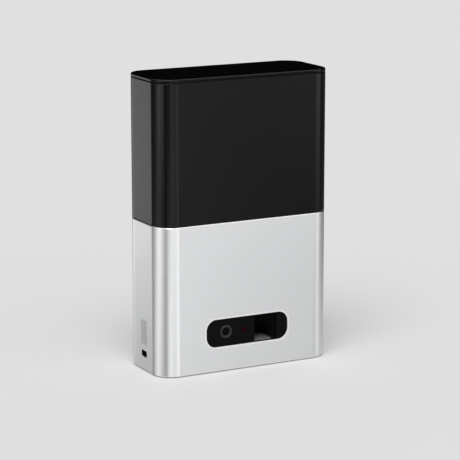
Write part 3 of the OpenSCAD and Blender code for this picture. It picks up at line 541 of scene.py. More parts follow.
class EffectShelf:
    """Builds each shared effect once and hands it to the finishes.

    Attributes:
        edge_samples: The number of samples that find a sharp edge.
        edge_contrast: How fast the mark of an edge grows with its bend.
        fine_share: The height of the fine noise against that of the pits.
    """

    edge_samples: ClassVar[int] = 6
    edge_contrast: ClassVar[float] = 4.0
    fine_share: ClassVar[float] = 0.6

    def __init__(self) -> None:
        """Starts with no effect built."""
        self.built: dict[Effect, bpy.types.NodeTree] = {}

    def take(self, effect: Effect) -> bpy.types.NodeTree:
        """Gives an effect's node group, built when it is first asked for.

        Args:
            effect: The effect that a finish needs.

        Returns:
            The node group.
        """
        builders = {
            Effect.SOFT_EDGES: self._soft_edges,
            Effect.FINE_GRAIN: self._fine_grain,
            Effect.HANDLING: self._handling,
            Effect.DUST: self._dust,
            Effect.HAIRLINES: self._hairlines,
        }
        if effect not in self.built:
            self.built[effect] = builders[effect]()
        return self.built[effect]

    def _group(
        self, effect: Effect, inputs: dict[str, tuple[str, object]], outputs: dict[str, str]
    ) -> tuple[Graph, bpy.types.Node, bpy.types.Node]:
        """Starts a node group with named inputs and outputs.

        Args:
            effect: The effect that the group makes.
            inputs: The kind and the usual value of each input, None for a vector.
            outputs: The kind of each output.

        Returns:
            The group's graph, its input node and its output node.
        """
        tree = bpy.data.node_groups.new(effect.value, "ShaderNodeTree")
        for name, (kind, usual) in inputs.items():
            socket = tree.interface.new_socket(name, in_out="INPUT", socket_type=kind)
            if usual is not None:
                socket.default_value = usual
        for name, kind in outputs.items():
            tree.interface.new_socket(name, in_out="OUTPUT", socket_type=kind)
        graph = Graph(tree)
        return graph, graph.add("NodeGroupInput"), graph.add("NodeGroupOutput")

    def _soft_edges(self) -> bpy.types.NodeTree:
        """Rounds sharp edges in the shading and marks where they are.

        Returns:
            The node group.
        """
        graph, given, made = self._group(
            Effect.SOFT_EDGES,
            {"Radius": ("NodeSocketFloat", 0.0002)},
            {"Normal": "NodeSocketVector", "Edge": "NodeSocketFloat"},
        )
        soft = graph.add("ShaderNodeBevel", samples=self.edge_samples)
        graph.feed(soft.inputs["Radius"], given.outputs["Radius"])
        along = graph.measure("DOT_PRODUCT", soft.outputs["Normal"], graph.normal())
        bend = graph.maths("SUBTRACT", 1.0, along)
        edge = graph.maths("MULTIPLY", bend, self.edge_contrast, clamp=True)
        graph.feed(made.inputs["Normal"], soft.outputs["Normal"])
        graph.feed(made.inputs["Edge"], edge)
        return graph.tree

    def _fine_grain(self) -> bpy.types.NodeTree:
        """Makes the fine, even texture of a blasted or moulded surface.

        Returns:
            The node group.
        """
        graph, given, made = self._group(
            Effect.FINE_GRAIN,
            {"Vector": ("NodeSocketVector", None), "Size": ("NodeSocketFloat", 0.3)},
            {"Height": "NodeSocketFloat"},
        )
        scale = graph.maths("DIVIDE", 1 / MM, given.outputs["Size"])
        pits = graph.add("ShaderNodeTexVoronoi", feature="SMOOTH_F1")
        fine = graph.add("ShaderNodeTexNoise")
        for node in (pits, fine):
            graph.feed(node.inputs["Vector"], given.outputs["Vector"])
            graph.feed(node.inputs["Scale"], scale)
        pitted = pits.outputs["Distance"]
        height = graph.maths("MULTIPLY_ADD", fine.outputs[0], self.fine_share, pitted)
        graph.feed(made.inputs["Height"], height)
        return graph.tree

    def _handling(self) -> bpy.types.NodeTree:
        """Makes the faint cloudy marks that hands and a cloth leave.

        Returns:
            The node group.
        """
        graph, given, made = self._group(
            Effect.HANDLING,
            {"Vector": ("NodeSocketVector", None)},
            {"Marks": "NodeSocketFloat"},
        )
        place = given.outputs["Vector"]
        clouds = graph.noise(place, size=38.0, detail=3.0, rough=0.55)
        wipes = graph.noise(place, size=7.0, detail=4.0, rough=0.6)
        marks = (graph.spread(clouds, low=0.35, high=0.7), graph.spread(wipes, low=0.3, high=0.75))
        graph.feed(made.inputs["Marks"], graph.maths("MULTIPLY", *marks))
        return graph.tree

    def _dust(self) -> bpy.types.NodeTree:
        """Makes a thin film of dust where a face looks up.

        Returns:
            The node group.
        """
        graph, given, made = self._group(
            Effect.DUST,
            {"Vector": ("NodeSocketVector", None)},
            {"Dust": "NodeSocketFloat"},
        )
        place = given.outputs["Vector"]
        upward = graph.spread(graph.split(graph.normal())["Z"], low=0.35, high=0.95)
        specks = graph.noise(place, size=0.9, detail=5.0, rough=0.7)
        film = graph.noise(place, size=26.0, detail=3.0, rough=0.6)
        cover = graph.maths(
            "MAXIMUM",
            graph.spread(specks, low=0.5, high=0.75),
            graph.spread(film, low=0.3, high=0.8, to_low=0.2, to_high=0.8),
        )
        graph.feed(made.inputs["Dust"], graph.maths("MULTIPLY", upward, cover))
        return graph.tree

    def _hairlines(self) -> bpy.types.NodeTree:
        """Makes fine lines of turning or rolling along a stretched direction.

        Returns:
            The node group.
        """
        graph, given, made = self._group(
            Effect.HAIRLINES,
            {"Vector": ("NodeSocketVector", None)},
            {"Lines": "NodeSocketFloat"},
        )
        lines = graph.noise(given.outputs["Vector"], size=0.35, detail=3.0, rough=0.65)
        graph.feed(made.inputs["Lines"], graph.spread(lines, low=0.3, high=0.7))
        return graph.tree


@dataclass
class Layer:
    """What a finish has worked out so far, as sockets or plain values.

    Attributes:
        graph: The material's graph.
        place: The object coordinates.
        colour: The colour.
        roughness: The roughness.
        metallic: How metallic it is.
        height: The height of the fine surface texture.
    """

    graph: Graph
    place: Socket
    colour: Value
    roughness: Value
    metallic: Value
    height: Value


@dataclass(frozen=True)
class Finish:
    """A surface finish with its colour, gloss, grain and wear.

    Attributes:
        name: The name of the material.
        colour: The main linear colour.
        roughness: The roughness of a clean surface.
        metallic: 1 for bare metal and 0 for the rest.
        drift: The share by which the colour wanders over the surface.
        drift_size: The size of that wandering in millimetres.
        rough_drift: How far handling marks change the roughness.
        grain: The size of the surface texture in millimetres.
        grain_depth: The depth of that texture in millimetres.
        edge_radius: The radius to which sharp edges are softened, in millimetres.
        edge_wear_highlight: How much lighter the edges are, partly as wear and partly as a painted
            highlight.
        dust: How strongly dust shows on faces that look up.
        specular: The specular level, 0.5 for common plastic.
        stretch: The stretch of hairlines along each axis, or zeros for none.
        clouds: The range of soft noise that becomes 0 to 1.
        line_roughness: How far hairlines change the roughness.
        line_rise: How far hairlines stand up, against the grain's own height.
        edge_share: How much of a sharp edge's own colour shows.
        edge_highlight_lift: The painted highlight that an edge gains even where the colour is black.
        film: The colour of dust.
    """

    name: str
    colour: Colour
    roughness: float
    metallic: float = 0.0
    drift: float = 0.04
    drift_size: float = 24.0
    rough_drift: float = 0.04
    grain: float = 0.35
    grain_depth: float = 0.004
    edge_radius: float = 0.15
    edge_wear_highlight: float = 0.25
    dust: float = 0.02
    specular: float = 0.5
    stretch: Point = (0.0, 0.0, 0.0)
    clouds: ClassVar[tuple[float, float]] = (0.3, 0.7)
    line_roughness: ClassVar[float] = 0.12
    line_rise: ClassVar[float] = 1.5
    edge_share: ClassVar[float] = 0.7
    edge_highlight_lift: ClassVar[float] = 0.02
    film: ClassVar[Colour] = grey(0.42, 0.05)

    def pattern(self, layer: Layer) -> None:
        """Adds what only this kind of finish has; the plain finish adds nothing."""

    def constants(self, shader: bpy.types.Node) -> None:
        """Sets the shader's values that are the same all over the surface."""
        shader.inputs["Specular IOR Level"].default_value = self.specular

    def make(self, effects: EffectShelf) -> bpy.types.Material:
        """Builds the material.

        Args:
            effects: The shelf that the shared effects come from.

        Returns:
            The material, ready for a piece or a solid.
        """
        material = bpy.data.materials.new(self.name)
        material.use_nodes = True
        graph = Graph(material.node_tree)
        graph.tree.nodes.clear()
        shader = graph.add("ShaderNodeBsdfPrincipled")
        surface = graph.add("ShaderNodeOutputMaterial").inputs["Surface"]
        graph.feed(surface, shader.outputs["BSDF"])
        edges = graph.effect(effects.take(Effect.SOFT_EDGES), Radius=self.edge_radius * MM)
        layer = self._clean(graph, effects)
        self.pattern(layer)
        self._wear_and_highlight(layer, effects, edges.outputs["Edge"])

        bump = graph.add("ShaderNodeBump")
        bump.inputs["Distance"].default_value = self.grain_depth * MM
        graph.feed(bump.inputs["Height"], layer.height)
        graph.feed(bump.inputs["Normal"], edges.outputs["Normal"])
        graph.feed(shader.inputs["Base Color"], layer.colour)
        graph.feed(shader.inputs["Roughness"], layer.roughness)
        graph.feed(shader.inputs["Metallic"], layer.metallic)
        graph.feed(shader.inputs["Normal"], bump.outputs["Normal"])
        self.constants(shader)
        return material

    def _clean(self, graph: Graph, effects: EffectShelf) -> Layer:
        """Lays down the colour, gloss and grain of the clean surface.

        Args:
            graph: The material's graph.
            effects: The shelf that the shared effects come from.

        Returns:
            The finish without its pattern and wear.
        """
        place = graph.place()
        grain = graph.effect(effects.take(Effect.FINE_GRAIN), Vector=place, Size=self.grain)
        marks = graph.effect(effects.take(Effect.HANDLING), Vector=place).outputs["Marks"]
        wander = graph.spread(graph.noise(place, self.drift_size, 3.0), *self.clouds)
        low = tuple(c * (1 - self.drift) for c in self.colour)
        high = tuple(min(1.0, c * (1 + self.drift)) for c in self.colour)
        layer = Layer(
            graph=graph,
            place=place,
            colour=graph.blend(wander, low, high),
            roughness=graph.maths("MULTIPLY_ADD", marks, self.rough_drift, self.roughness),
            metallic=self.metallic,
            height=grain.outputs["Height"],
        )
        if any(self.stretch):
            along = graph.place(stretch=self.stretch)
            lines = graph.effect(effects.take(Effect.HAIRLINES), Vector=along).outputs["Lines"]
            layer.roughness = graph.maths("MULTIPLY_ADD", lines, self.line_roughness, layer.roughness)
            layer.height = graph.maths("MULTIPLY_ADD", lines, self.line_rise, layer.height)
        return layer

    def _wear_and_highlight(self, layer: Layer, effects: EffectShelf, edge: Socket) -> None:
        """Lightens the sharp edges, partly as wear and partly as a painted highlight, and lets dust
        settle.

        Args:
            layer: The finish so far, which is changed in place.
            effects: The shelf that the shared effects come from.
            edge: Where the sharp edges are.
        """
        graph, gain = layer.graph, self.edge_wear_highlight
        # Lighter edges: part wear, part painted highlight.
        worn_and_highlit = tuple(min(1.0, c * (1 + gain) + self.edge_highlight_lift * gain) for c in self.colour)
        share = graph.maths("MULTIPLY", edge, self.edge_share)
        layer.colour = graph.blend(share, layer.colour, worn_and_highlit)
        dust = graph.effect(effects.take(Effect.DUST), Vector=layer.place).outputs["Dust"]
        dust_share = graph.maths("MULTIPLY", dust, self.dust)
        layer.colour = graph.blend(dust_share, layer.colour, self.film)
        layer.roughness = graph.maths("ADD", layer.roughness, dust_share, clamp=True)


@dataclass(frozen=True)
class CutMetal(Finish):
    """Satin metal whose narrow slanted edges are cut bright.

    Attributes:
        cut_roughness: The roughness of the bright cut edges.
        upright: The rise of a normal up to which a face is upright, and from which it slants.
        level: The rise from which it is level, and up to which it slants.
    """

    cut_roughness: float = 0.16
    upright: tuple[float, float] = (0.3, 0.6)
    level: tuple[float, float] = (0.98, 0.85)

    def pattern(self, layer: Layer) -> None:
        """Polishes the faces that slant between upright and level.

        Args:
            layer: The finish so far, which is changed in place.
        """
        graph = layer.graph
        rise = graph.maths("ABSOLUTE", graph.split(graph.normal())["Z"])
        limits = (graph.spread(rise, *self.upright), graph.spread(rise, *self.level))
        cut = graph.maths("MULTIPLY", *limits)
        gap = graph.maths("SUBTRACT", self.cut_roughness, layer.roughness)
        layer.roughness = graph.maths("MULTIPLY_ADD", cut, gap, layer.roughness)


@dataclass(frozen=True)
class BoardMask(Finish):
    """Green solder mask over copper tracks, with bright pads.

    Attributes:
        track: The colour of the mask over a track.
        pad: The colour of a tinned pad.
        block: The size of an area whose tracks run one way, in millimetres.
        pitch: The distance between tracks in millimetres.
        gap_share: The share of the pitch that is free between tracks.
        track_rise: How far a track stands up, against the grain's own height.
        pad_pitch: The distance between pads in millimetres.
        pad_share: The radius of a pad as a share of that distance.
    """

    track: Colour = (0.030, 0.150, 0.060)
    pad: Colour = (0.72, 0.66, 0.52)
    block: float = 5.0
    pitch: float = 0.9
    gap_share: float = 0.55
    track_rise: float = 6.0
    pad_pitch: float = 3.1
    pad_share: float = 0.16

    def pattern(self, layer: Layer) -> None:
        """Lays tracks in blocks that run across or along, and scatters pads.

        Args:
            layer: The finish so far, which is changed in place.
        """
        graph = layer.graph
        blocks = graph.cells(layer.place, self.block)
        blocks.distance = "CHEBYCHEV"
        pick = graph.add("ShaderNodeSeparateColor")
        graph.feed(pick.inputs[0], blocks.outputs["Color"])
        way = graph.maths("GREATER_THAN", pick.outputs[0], 0.5)
        split = graph.split(layer.place)
        across = graph.maths("ADD", split["X"], split["Y"])
        gap = graph.maths("SUBTRACT", split["Z"], across)
        run = graph.maths("MULTIPLY_ADD", way, gap, across)
        wave = graph.maths("FRACT", graph.maths("DIVIDE", run, self.pitch * MM))
        tracks = graph.maths("GREATER_THAN", wave, self.gap_share)
        dots = graph.cells(layer.place, self.pad_pitch).outputs["Distance"]
        pads = graph.maths("LESS_THAN", dots, self.pad_share)
        layer.colour = graph.blend(tracks, layer.colour, self.track)
        layer.colour = graph.blend(pads, layer.colour, self.pad)
        layer.metallic = pads
        layer.height = graph.maths("MULTIPLY_ADD", tracks, self.track_rise, layer.height)


@dataclass(frozen=True)
class WovenCloth(Finish):
    """A plain weave over the speaker.

    Attributes:
        thread: The pitch of the threads in millimetres.
        light: The colour of the thread tops.
        fibre: The size of the loose fibres in millimetres.
        fuzz: How strongly the fibres blur the weave.
        rise: How far the threads stand up, against the grain's own height.
    """

    thread: float = 0.5
    light: Colour = (0.62, 0.62, 0.63)
    fibre: float = 0.12
    fuzz: float = 0.35
    rise: float = 10.0

    def pattern(self, layer: Layer) -> None:
        """Crosses two sets of threads, over and under in turn.

        Args:
            layer: The finish so far, which is changed in place.
        """
        graph = layer.graph
        split = graph.split(layer.place)
        turns = math.pi / (self.thread * MM)
        sines = [graph.maths("SINE", graph.maths("MULTIPLY", split[a], turns)) for a in "YZ"]
        over = graph.maths("ABSOLUTE", graph.maths("MULTIPLY", sines[0], sines[1]))
        fuzz = graph.noise(layer.place, self.fibre, detail=3.0, rough=0.7)
        level = graph.maths("MULTIPLY_ADD", fuzz, self.fuzz, over)
        layer.colour = graph.blend(graph.spread(level, low=0.1, high=1.0), layer.colour, self.light)
        layer.height = graph.maths("MULTIPLY", level, self.rise)


@dataclass(frozen=True)
class PressedCone(Finish):
    """Pressed paper with rings round the speaker's middle.

    Attributes:
        centre: The middle of the speaker in millimetres.
        ring: The pitch of the pressed rings in millimetres.
        ring_rise: The height of a ring, against the depth of the texture.
        fibre: The size of the fibres in millimetres.
        fibre_rise: The height of a fibre, against the depth of the texture.
        fibre_share: How much of a fibre's own colour shows.
        pale: The colour of the fibres.
    """

    centre: Point = (-82.0, -0.8, 36.0)
    ring: float = 1.6
    ring_rise: float = 4.0
    fibre: float = 0.5
    fibre_rise: float = 3.0
    fibre_share: float = 0.5
    pale: Colour = grey(0.08, 0.03)

    def pattern(self, layer: Layer) -> None:
        """Presses rings and mottles the fibres.

        Args:
            layer: The finish so far, which is changed in place.
        """
        graph = layer.graph
        away = graph.measure("LENGTH", graph.place(self.centre, (0.0, 1.0, 1.0)))
        waves = graph.maths("SINE", graph.maths("MULTIPLY", away, 2 * math.pi / (self.ring * MM)))
        noise = graph.noise(layer.place, self.fibre, detail=5.0, rough=0.75)
        fibres = graph.spread(noise, low=0.4, high=0.7)
        shown, raised = (graph.maths("MULTIPLY", fibres, f) for f in (self.fibre_share, self.fibre_rise))
        layer.colour = graph.blend(shown, layer.colour, self.pale)
        layer.height = graph.maths("MULTIPLY_ADD", waves, self.ring_rise, raised)


@dataclass(frozen=True)
class DeepFilter(Finish):
    """Nearly black plastic with a painted deep red glow round a middle.

    Attributes:
        centre: The middle of the lamp behind it, in millimetres.
        painted_glow: The painted red glow in the middle.
        core: The radius of the full red, in millimetres.
        reach: The radius over which the red fades, in millimetres.
    """

    centre: Point = (-3.7, -35.0, 36.8)
    painted_glow: Colour = (0.017, 0.0004, 0.0014)
    core: float = 1.6
    reach: float = 3.6

    def pattern(self, layer: Layer) -> None:
        """Fades the painted red glow of the middle into the dark rim.

        Args:
            layer: The finish so far, which is changed in place.
        """
        graph = layer.graph
        away = graph.measure("LENGTH", graph.place(self.centre, (1.0, 0.0, 1.0)))
        near = graph.spread(away, self.reach * MM, self.core * MM)
        # Painted glow: the red stands in for the lamp behind shining through the filter.
        layer.colour = graph.blend(near, layer.colour, self.painted_glow)


@dataclass(frozen=True)
class PaintedShadeWell(Finish):
    """Black plastic with painted shade that deepens inside a lens.

    Attributes:
        mouth: The y at which it starts to darken, in millimetres.
        depth: How far behind the mouth it is darkest, in millimetres.
        deep: The painted shade in the depth.
        deep_roughness: The roughness in the depth.
    """

    mouth: float = -34.9
    depth: float = 1.4
    deep: Colour = (0.0006, 0.0006, 0.0007)
    deep_roughness: float = 0.9

    def pattern(self, layer: Layer) -> None:
        """Paints shade into the barrel, darker with depth.

        Args:
            layer: The finish so far, which is changed in place.
        """
        graph = layer.graph
        inwards = graph.split(layer.place)["Y"]
        share = graph.spread(inwards, self.mouth * MM, (self.mouth + self.depth) * MM)
        # Painted shade: the barrel darkens with depth as if no light reached inside.
        layer.colour = graph.blend(share, layer.colour, self.deep)
        layer.roughness = graph.blend(share, layer.roughness, grey(self.deep_roughness))


@dataclass(frozen=True)
class PaintedLightRamp(Finish):
    """Grey plastic with a painted pool of light on a patch, falling off to painted shade around it.

    Attributes:
        patch: The middle of the painted pool of light in millimetres.
        half: Half its width and half its depth in millimetres.
        fade: The width of the fall off in millimetres.
        dark: The painted shade of the surround.
    """

    patch: Point = (15.0, -28.0, 24.4)
    half: tuple[float, float] = (8.5, 8.5)
    fade: float = 3.0
    dark: Colour = (0.004, 0.004, 0.0042)

    def pattern(self, layer: Layer) -> None:
        """Fades the grey into painted shade beyond the lit patch.

        Args:
            layer: The finish so far, which is changed in place.
        """
        graph = layer.graph
        split = graph.split(graph.place(self.patch))
        share: Value = 1.0
        for axis, half in zip("XY", self.half):
            away = graph.maths("ABSOLUTE", split[axis])
            inside = graph.spread(away, (half + self.fade) * MM, half * MM)
            share = graph.maths("MULTIPLY", share, inside)
        # Painted light and shade: the patch stands for light falling into the chute, the surround for its
        # shadow.
        layer.colour = graph.blend(share, self.dark, layer.colour)


@dataclass(frozen=True)
class ClearGlass(Finish):
    """Clear glass or clear plastic with a thin bloom of dust.

    Attributes:
        index: The refractive index, low for a coated lens that reflects little.
    """

    index: float = 1.5

    def constants(self, shader: bpy.types.Node) -> None:
        """Sets the shader's clear values.

        Args:
            shader: The shader of the material.
        """
        super().constants(shader)
        shader.inputs["Transmission Weight"].default_value = 1.0
        shader.inputs["IOR"].default_value = self.index


class FinishShelf:
    """Keeps one finish for each material slot and makes each material once."""

    def __init__(self, finishes: Sequence[tuple[str, Finish]]) -> None:
        """Keeps the finishes by slot.

        Args:
            finishes: Pairs of slot and finish.
        """
        self.effects = EffectShelf()
        self.finishes = dict(finishes)
        self.made: dict[str, bpy.types.Material] = {}
        self.dressed: set[str] = set()

    def material(self, finish: Finish) -> bpy.types.Material:
        """Gives the material of a finish, made when it is first asked for."""
        if finish.name not in self.made:
            self.made[finish.name] = finish.make(self.effects)
        return self.made[finish.name]

    def dress_node(self, name: str, finish: Finish | None = None) -> None:
        """Puts a finish on a solid of the frame.

        Args:
            name: The name of the solid.
            finish: The finish, where it differs from its slot's own.
        """
        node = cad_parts[name]
        slot = node.data.materials[0].name
        for place in node.material_slots:
            place.material = self.material(finish or self.finishes[slot])
        self.dressed.add(name)

    def dress_piece(self, piece: Piece, slot: str, finish: Finish | None = None) -> None:
        """Puts the finish of a slot on a new piece.

        Args:
            piece: The new piece.
            slot: The slot of the record that the piece belongs to.
            finish: The finish, where it differs from the slot's own.
        """
        piece.data.materials.clear()
        piece.data.materials.append(self.material(finish or self.finishes[slot]))


FINISHES: tuple[tuple[str, Finish], ...] = (
    ("aluminium_body", CutMetal(
        "satin_aluminium", grey(0.93, -0.010), 0.31, metallic=1.0, drift=0.006, drift_size=60.0,
        rough_drift=0.02, grain=0.22, grain_depth=0.0012, edge_radius=0.12, edge_wear_highlight=0.05,
        dust=0.01)),
    # Near-white diffuse base with little metal: a painted highlight standing in for the bright reflection
    # of a polished edge.
    ("polished_trim", Finish(
        "polished_trim", grey(0.985), 0.16, metallic=0.12, drift=0.005, rough_drift=0.03,
        grain_depth=0.0004, edge_radius=0.04, edge_wear_highlight=0.03, dust=0.0, specular=1.0)),
    ("black_shell", Finish(
        "satin_black_shell", grey(0.0026, -0.12), 0.17, drift=0.08, drift_size=70.0,
        rough_drift=0.02, grain=0.25, grain_depth=0.0006, edge_radius=0.2, edge_wear_highlight=0.6,
        dust=0.004, specular=0.25)),
    ("black_gloss", Finish(
        "gloss_black", grey(0.0020), 0.12, drift=0.05, rough_drift=0.04, grain=0.5,
        grain_depth=0.0004, edge_radius=0.1, edge_wear_highlight=0.5, dust=0.001, specular=0.22)),
    ("black_plastic", Finish(
        "moulded_black", grey(0.0075, -0.03), 0.50, drift=0.06, rough_drift=0.08, grain=0.4,
        grain_depth=0.006, edge_wear_highlight=0.5, specular=0.35)),
    ("grey_plastic", Finish(
        "moulded_grey", grey(0.17, -0.01), 0.5, grain=0.45, grain_depth=0.006)),
    ("white_plastic", Finish(
        "food_white", grey(0.74, 0.015), 0.38, drift=0.02, grain=0.5, grain_depth=0.004,
        edge_wear_highlight=0.05, dust=0.04)),
    ("rubber", Finish(
        "soft_rubber", grey(0.022), 0.78, drift=0.1, rough_drift=0.08, grain=0.3,
        grain_depth=0.012, edge_wear_highlight=0.5, dust=0.10, specular=0.35)),
    ("steel", Finish(
        "zinc_steel", grey(0.60, 0.01), 0.30, metallic=1.0, drift=0.06, drift_size=6.0,
        rough_drift=0.10, grain=0.3, grain_depth=0.002, edge_wear_highlight=0.2, stretch=(1.0, 1.0, 0.08))),
    ("brass", Finish(
        "turned_brass", (0.80, 0.56, 0.25), 0.26, metallic=1.0, drift=0.07, drift_size=5.0,
        rough_drift=0.08, grain_depth=0.002, edge_wear_highlight=0.2, stretch=(1.0, 0.08, 0.08))),
    ("circuit_board", BoardMask(
        "circuit_board", (0.014, 0.085, 0.034), 0.36, drift=0.08, grain=0.5, grain_depth=0.006)),
    ("lens_glass", ClearGlass(
        "coated_lens", (0.20, 0.22, 0.27), 0.03, drift=0.01, rough_drift=0.01, grain_depth=0.0,
        edge_radius=0.02, edge_wear_highlight=0.0, dust=0.0, index=1.18)),
    # Its pattern paints a red glow round the lamp behind it.
    ("infrared_filter", DeepFilter(
        "infrared_filter", (0.006, 0.0004, 0.0010), 0.30, drift=0.03, grain_depth=0.0005,
        edge_radius=0.08, edge_wear_highlight=0.2, dust=0.0, specular=0.03)),
    ("clear_plastic", ClearGlass(
        "clear_dome", (0.90, 0.86, 0.88), 0.06, drift=0.02, grain_depth=0.001, edge_wear_highlight=0.0,
        dust=0.0, index=1.45)),
    ("speaker_cloth", WovenCloth(
        "speaker_cloth", grey(0.40), 0.85, grain_depth=0.02, edge_wear_highlight=0.0, dust=0.02)),
    ("cone_paper", PressedCone(
        "pressed_paper", grey(0.03, 0.03), 0.75, drift=0.1, grain_depth=0.03, edge_wear_highlight=0.2)),
    ("copper_film", Finish(
        "copper_film", (0.78, 0.38, 0.20), 0.34, metallic=1.0, drift=0.08, drift_size=9.0,
        rough_drift=0.10, grain=0.8, grain_depth=0.006, edge_wear_highlight=0.1)),
)


@dataclass
class Assembly:
    """A sub-assembly that models its own pieces and dresses its solids.

    Attributes:
        bench: Where the pieces are modelled.
        shelf: Where the finishes come from.
    """

    bench: Bench
    shelf: FinishShelf
    nodes: ClassVar[tuple[str, ...]] = ()

    def build(self) -> list[Piece]:
        """Models the pieces that the solids leave plain; by default there are none."""
        return []

    def finish(
        self,
        piece: Piece,
        slot: str,
        body: str = "root",
        stands_for: Sequence[str] = (),
        finish: Finish | None = None,
    ) -> Piece:
        """Tidies a piece, dresses it and ties it to its body.

        Args:
            piece: The piece, shaped and in place.
            slot: The material slot of the record.
            body: The body that it moves with.
            stands_for: The solids that it replaces in the picture.
            finish: The finish, where it differs from the slot's own.

        Returns:
            The finished piece.
        """
        self.bench.tidy(piece)
        self.shelf.dress_piece(piece, slot, finish)
        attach(piece, body)
        if stands_for:
            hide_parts(*stands_for)
        return piece

    def repeat(self, piece: Piece, name: str, offset: Point, slot: str) -> Piece:
        """Copies a finished piece of the fixed body.

        Args:
            piece: The finished piece.
            name: The name of the copy.
            offset: How far the copy is from it, in millimetres.
            slot: Not used; the copy keeps the material of the piece.

        Returns:
            The copy.
        """
        twin = self.bench.copy(piece, name, offset)
        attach(twin, "root")
        return twin

    def run(self) -> None:
        """Builds the pieces, reports each and dresses the solids."""
        for piece in self.build():
            LOG.info("%s: piece %s, %d faces", type(self).__name__, piece.name, len(piece.data.polygons))
        special = self.special()
        for node in self.nodes:
            self.shelf.dress_node(node, special.get(node))
        LOG.info("%s: %d solids dressed", type(self).__name__, len(self.nodes))

    def special(self) -> dict[str, Finish]:
        """Gives the solids whose finish differs from their slot's own; by default none."""
        return {}


@dataclass
class Body(Assembly):
    """The outer form that the casing and the lid share.

    Attributes:
        width: The width of the object.
        depth: The depth of the object.
        corner: The radius of its upright corners.
        corner_steps: The number of flats in a corner.
    """

    width: float = 175.0
    depth: float = 73.0
    corner: float = 18.5
    corner_steps: int = 24

    def block(self, name: str, low: float, high: float) -> Piece:
        """Models a block of the body's outline with rounded upright corners.

        Args:
            name: The name of the piece.
            low: The height of its underside.
            high: The height of its top.

        Returns:
            The block.
        """
        half = (self.width / 2, self.depth / 2)
        piece = self.bench.slab(name, (-half[0], -half[1], low), (half[0], half[1], high))
        self.bench.round_edges(piece, upright, (self.corner, self.corner_steps))
        return piece


@dataclass
class Casing(Body):
    """Sleeve, upper shell, base, feet and the frame inside.

    Attributes:
        shell_low: The height of the seam that the upper shell starts at.
        shell_high: The height of its rim.
        shell_wall: The thickness of its wall.
        rim: The rounding of its rim.
        skirt: The rounding of its lower edge, which leaves the sleeve's bright edge in view.
        foot: The half width, half depth and height of a foot.
        foot_corner: The rounding of its upright corners.
        foot_edge: The rounding of its lower edge.
        sole: The rings of its sole.
        foot_place: How far a foot's middle is from the object's middle.
    """

    shell_low: float = 138.0
    shell_high: float = 266.6
    shell_wall: float = 2.0
    rim: Rounding = (0.45, 4)
    skirt: Rounding = (1.0, 4)
    foot: Point = (11.0, 4.5, 2.0)
    foot_corner: Rounding = (4.0, 8)
    foot_edge: Rounding = (0.45, 3)
    sole: Rings = ((0.7, 0.0), (0.2, -0.25), (0.6, 0.0), (0.2, 0.2), (0.5, 0.0), (0.2, -0.2))
    foot_place: tuple[float, float] = (58.0, 24.0)
    nodes: ClassVar[tuple[str, ...]] = (
        "lower_sleeve", "upper_shell", "base_plate", "rubber_feet", "base_screws", "rear_cover",
        "rear_screws", "reset_button", "reset_switch", "main_frame", "frame_floor", "mid_deck",
        "throat_gasket",
    )

    def build(self) -> list[Piece]:
        """Models the upper shell and the four feet."""
        return [self.shell(), *self.feet()]

    def shell(self) -> Piece:
        """Models the open shell with softly rounded rims.

        Returns:
            The shell.
        """
        piece = self.block("upper_shell_skin", self.shell_low, self.shell_high)
        with self.bench.editing(piece):
            self.bench.pick_faces(piece, facing(Axis.Z))
            bpy.ops.mesh.delete(type="ONLY_FACE")
        self.bench.modify(
            piece, "SOLIDIFY", thickness=self.shell_wall * MM, offset=-1.0, use_even_offset=True
        )
        for height, rounding in ((self.shell_high, self.rim), (self.shell_low, self.skirt)):
            self.bench.round_edges(
                piece,
                lambda a, b: max(abs(a.z - height), abs(b.z - height)) < CLOSE and self.outside(a, b),
                rounding,
            )
        return self.finish(piece, "black_shell", stands_for=["upper_shell"])

    def outside(self, first: Vector, second: Vector) -> bool:
        """Tells if an edge runs along the outer outline of the body.

        Args:
            first: One end in millimetres.
            second: The other end in millimetres.

        Returns:
            True if both ends are on the outline.
        """
        for point in (first, second):
            over = Vector((
                abs(point.x) - (self.width / 2 - self.corner),
                abs(point.y) - (self.depth / 2 - self.corner),
            ))
            reach = Vector((max(over.x, 0.0), max(over.y, 0.0))).length + min(max(over), 0.0)
            if abs(reach - self.corner) > 5 * CLOSE:
                return False
        return True

    def feet(self) -> list[Piece]:
        """Models one soft foot with a hollow sole and copies it to the other corners.

        Returns:
            The four feet.
        """
        x, y, height = self.foot
        right, back = self.foot_place
        first = self.bench.slab(
            "rubber_pad_1", (-right - x, -back - y, 0.0), (-right + x, -back + y, height)
        )
        self.bench.round_edges(first, upright, self.foot_corner)
        self.bench.round_edges(first, lambda a, b: max(a.z, b.z) < CLOSE, self.foot_edge)
        under = facing(Axis.Z, -1)
        self.bench.step_face(
            first, lambda middle, normal: under(middle, normal) and middle.z < CLOSE, self.sole
        )
        self.finish(first, "rubber", stands_for=["rubber_feet"])
        offsets = ((2 * right, 0.0, 0.0), (0.0, 2 * back, 0.0), (2 * right, 2 * back, 0.0))
        return [first] + [
            self.repeat(first, f"rubber_pad_{index}", offset, "rubber")
            for index, offset in enumerate(offsets, start=2)
        ]


@dataclass
class Lid(Body):
    """The lift-off lid and the hopper that it closes.

    Attributes:
        low: The height of the lid plate's underside.
        high: The height of its top.
        soft: The rounding of its upper edge.
        under: The rounding of its lower edge.
    """

    low: float = 267.4
    high: float = 270.0
    soft: Rounding = (1.0, 5)
    under: Rounding = (0.35, 2)
    nodes: ClassVar[tuple[str, ...]] = ("lid_plate", "lid_skirt", "lid_seal", "treat_hopper")

    def build(self) -> list[Piece]:
        """Models the lid plate with a soft upper edge that catches the light.

        Returns:
            The lid plate.
        """
        piece = self.block("lid_cover", self.low, self.high)
        self.bench.round_edges(piece, lambda a, b: min(a.z, b.z) > self.high - CLOSE, self.soft)
        self.bench.round_edges(piece, lambda a, b: max(a.z, b.z) < self.low + CLOSE, self.under)
        return [self.finish(piece, "black_gloss", "lid", ["lid_plate"])]


